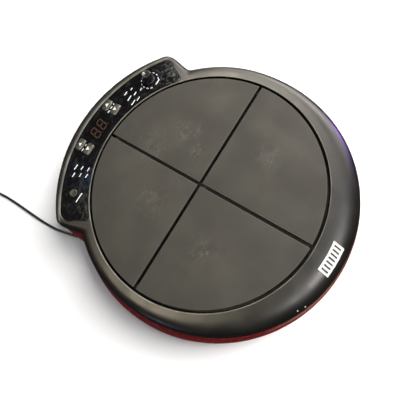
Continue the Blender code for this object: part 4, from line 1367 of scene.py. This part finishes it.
def power_adapter(black, steel):
    """A wall adapter with a seam groove, a strain relief and two flat blades."""
    low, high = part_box("power_adapter")
    x, y = ADAPTER_ROUTE[-1][0], 0.3700 + PAD_CENTRE_Y
    wide, deep, seam_half = 0.0460, 0.0560, 0.0004
    edge = fillet(0.0030, 5)
    seam = low.z + (high.z - low.z) * 0.55
    levels = [(back, low.z + drop) for back, drop in reversed(edge)]
    levels += [(0, seam - seam_half), (seam_half, seam - seam_half / 2),
               (seam_half, seam + seam_half / 2), (0, seam + seam_half)]
    levels += [(back, high.z - drop) for back, drop in edge]
    adapter = add("adapter_case", [stepped(wide, deep, 0.006, levels, (x, y))], black,
                  replaces=["power_adapter"], sharp=45)

    turn = Matrix.Rotation(math.pi / 2, 4, "X")
    front = Matrix.Translation((x, y - deep / 2, ADAPTER_CORD_Z)) @ turn
    profile = [(0.0044, -0.0010), (0.0044, 0.0016)]
    profile += ribs(5, 0.0037, 0.0020, 0.0021, 0.00025,
                    ((0.0, 0.0), (0.0001, 0.0013), (0.0008, 0.0014), (0.0008, 0.0020)))
    fix_to(add("adapter_relief", [turned(lathe(profile, 28), front)], black), adapter)

    blade_off, blade_z, blade_half, tip_half, blade_thin = 0.0064, 0.01715, 0.0031, 0.0022, 0.00075
    root = x - wide / 2
    blades = []
    for side in (-1, 1):
        middle = y + side * blade_off
        blades.append([
            [Vector((px, middle + a * blade_thin, blade_z + b * half))
             for a, b in ((-1, -1), (1, -1), (1, 1), (-1, 1))]
            for px, half in ((root + 0.0010, blade_half), (root - 0.0150, blade_half),
                             (root - 0.0160, tip_half))
        ])
    return adapter, add("adapter_blades", blades, steel)


def cord_tie(finish):
    """A hook-and-loop strap round the coil's turns."""
    turn = Matrix.Rotation(math.radians(215), 4, "Z")
    spin = Matrix.Translation(Vector((*COIL_CENTRE, 0.0)) + CENTRE) @ turn
    low, high = 0.0001, COIL_FLOOR + 5 * CORD_RADIUS + 0.0004
    middle = Vector((COIL_RADIUS, 0.0, (low + high) / 2))
    wide, tall, twice_thick = 8 * CORD_RADIUS + 0.0014, high - low, 0.0011
    stations = [0.0045 * share for share in (-1.0, -0.5, 0.0, 0.5, 1.0)]
    sections = []
    for less, corner, run in ((0.0, 0.0021, stations), (twice_thick, 0.0016, stations[::-1])):
        for along in run:
            flat = rounded_rectangle(wide - less, tall - less, corner, 0.0, steps=5)
            sections.append([spin @ (middle + Vector((p.x, along, p.y))) for p in flat])
    return add("cord_tie", [sections], finish, wrap=True)


# ---- what stays as the CAD made it ----


def finish_nodes(finishes):
    """Gives each CAD node that is still shown a procedural material."""
    rules = (
        ("pad_plate_", "steel"), ("piezo_sensor_", "brass"), ("volume_shaft", "steel"),
        ("control_board", "board"), ("main_board", "board"), ("board_ribbon", "ribbon"),
    )
    for name, node in NODES.items():
        kind = next((made for start, made in rules if name.startswith(start)), "inner")
        node.data.materials.clear()
        node.data.materials.append(finishes[kind])
        node.data.shade_smooth()
        node.data.set_sharp_from_angle(angle=math.radians(30))


def make_floor():
    floor = solid("floor", [[circle(FLOOR_REACH, z, 64) for z in (-0.02, 0.0)]])
    floor.data.materials.append(floor_paper())
    floor.visible_glossy = False


def main():
    make_camera()
    make_lights()
    make_sky()
    make_floor()
    steel = brushed("zinc_steel", (0.52, 0.52, 0.51), 0.30)
    black = moulded("adapter_plastic", (0.014, 0.014, 0.014), 0.45)
    pvc = sheath()
    tie = moulded("woven_strap", (0.020, 0.020, 0.021), 0.85, 900, 0.0002)
    power_lead(black, pvc, steel, tie)

    shell, red, rubber = shell_black(), shell_red(), pad_rubber()
    white, silver = print_white(), silver_paint("key_silver", (0.100, 0.096, 0.078))
    top_shell(shell)
    bottom_shell(red)
    emblem(badge_silver(), moulded("badge_bars", (0.030, 0.030, 0.030), 0.80))
    pads(rubber, open_foam())
    panel(panel_gloss(), tinted_window(), segment_red())
    panel_marks(white)
    keys(silver, white)
    power_button(silver_paint("button_khaki", (0.066, 0.062, 0.046)))
    volume_knob(knob_black(), white)
    socket_fittings(steel)
    feet(moulded("foot_rubber", (0.016, 0.016, 0.016), 0.80, 1300, 0.00005))
    screws(steel)
    finish_nodes({
        "steel": steel,
        "brass": brushed("piezo_brass", (0.55, 0.38, 0.13), 0.32, (1, 1, 1), 300),
        "board": circuit_green(),
        "ribbon": ribbon_cable(),
        "inner": moulded("inner_plastic", (0.0035, 0.0035, 0.0035), 0.60),
    })


main()
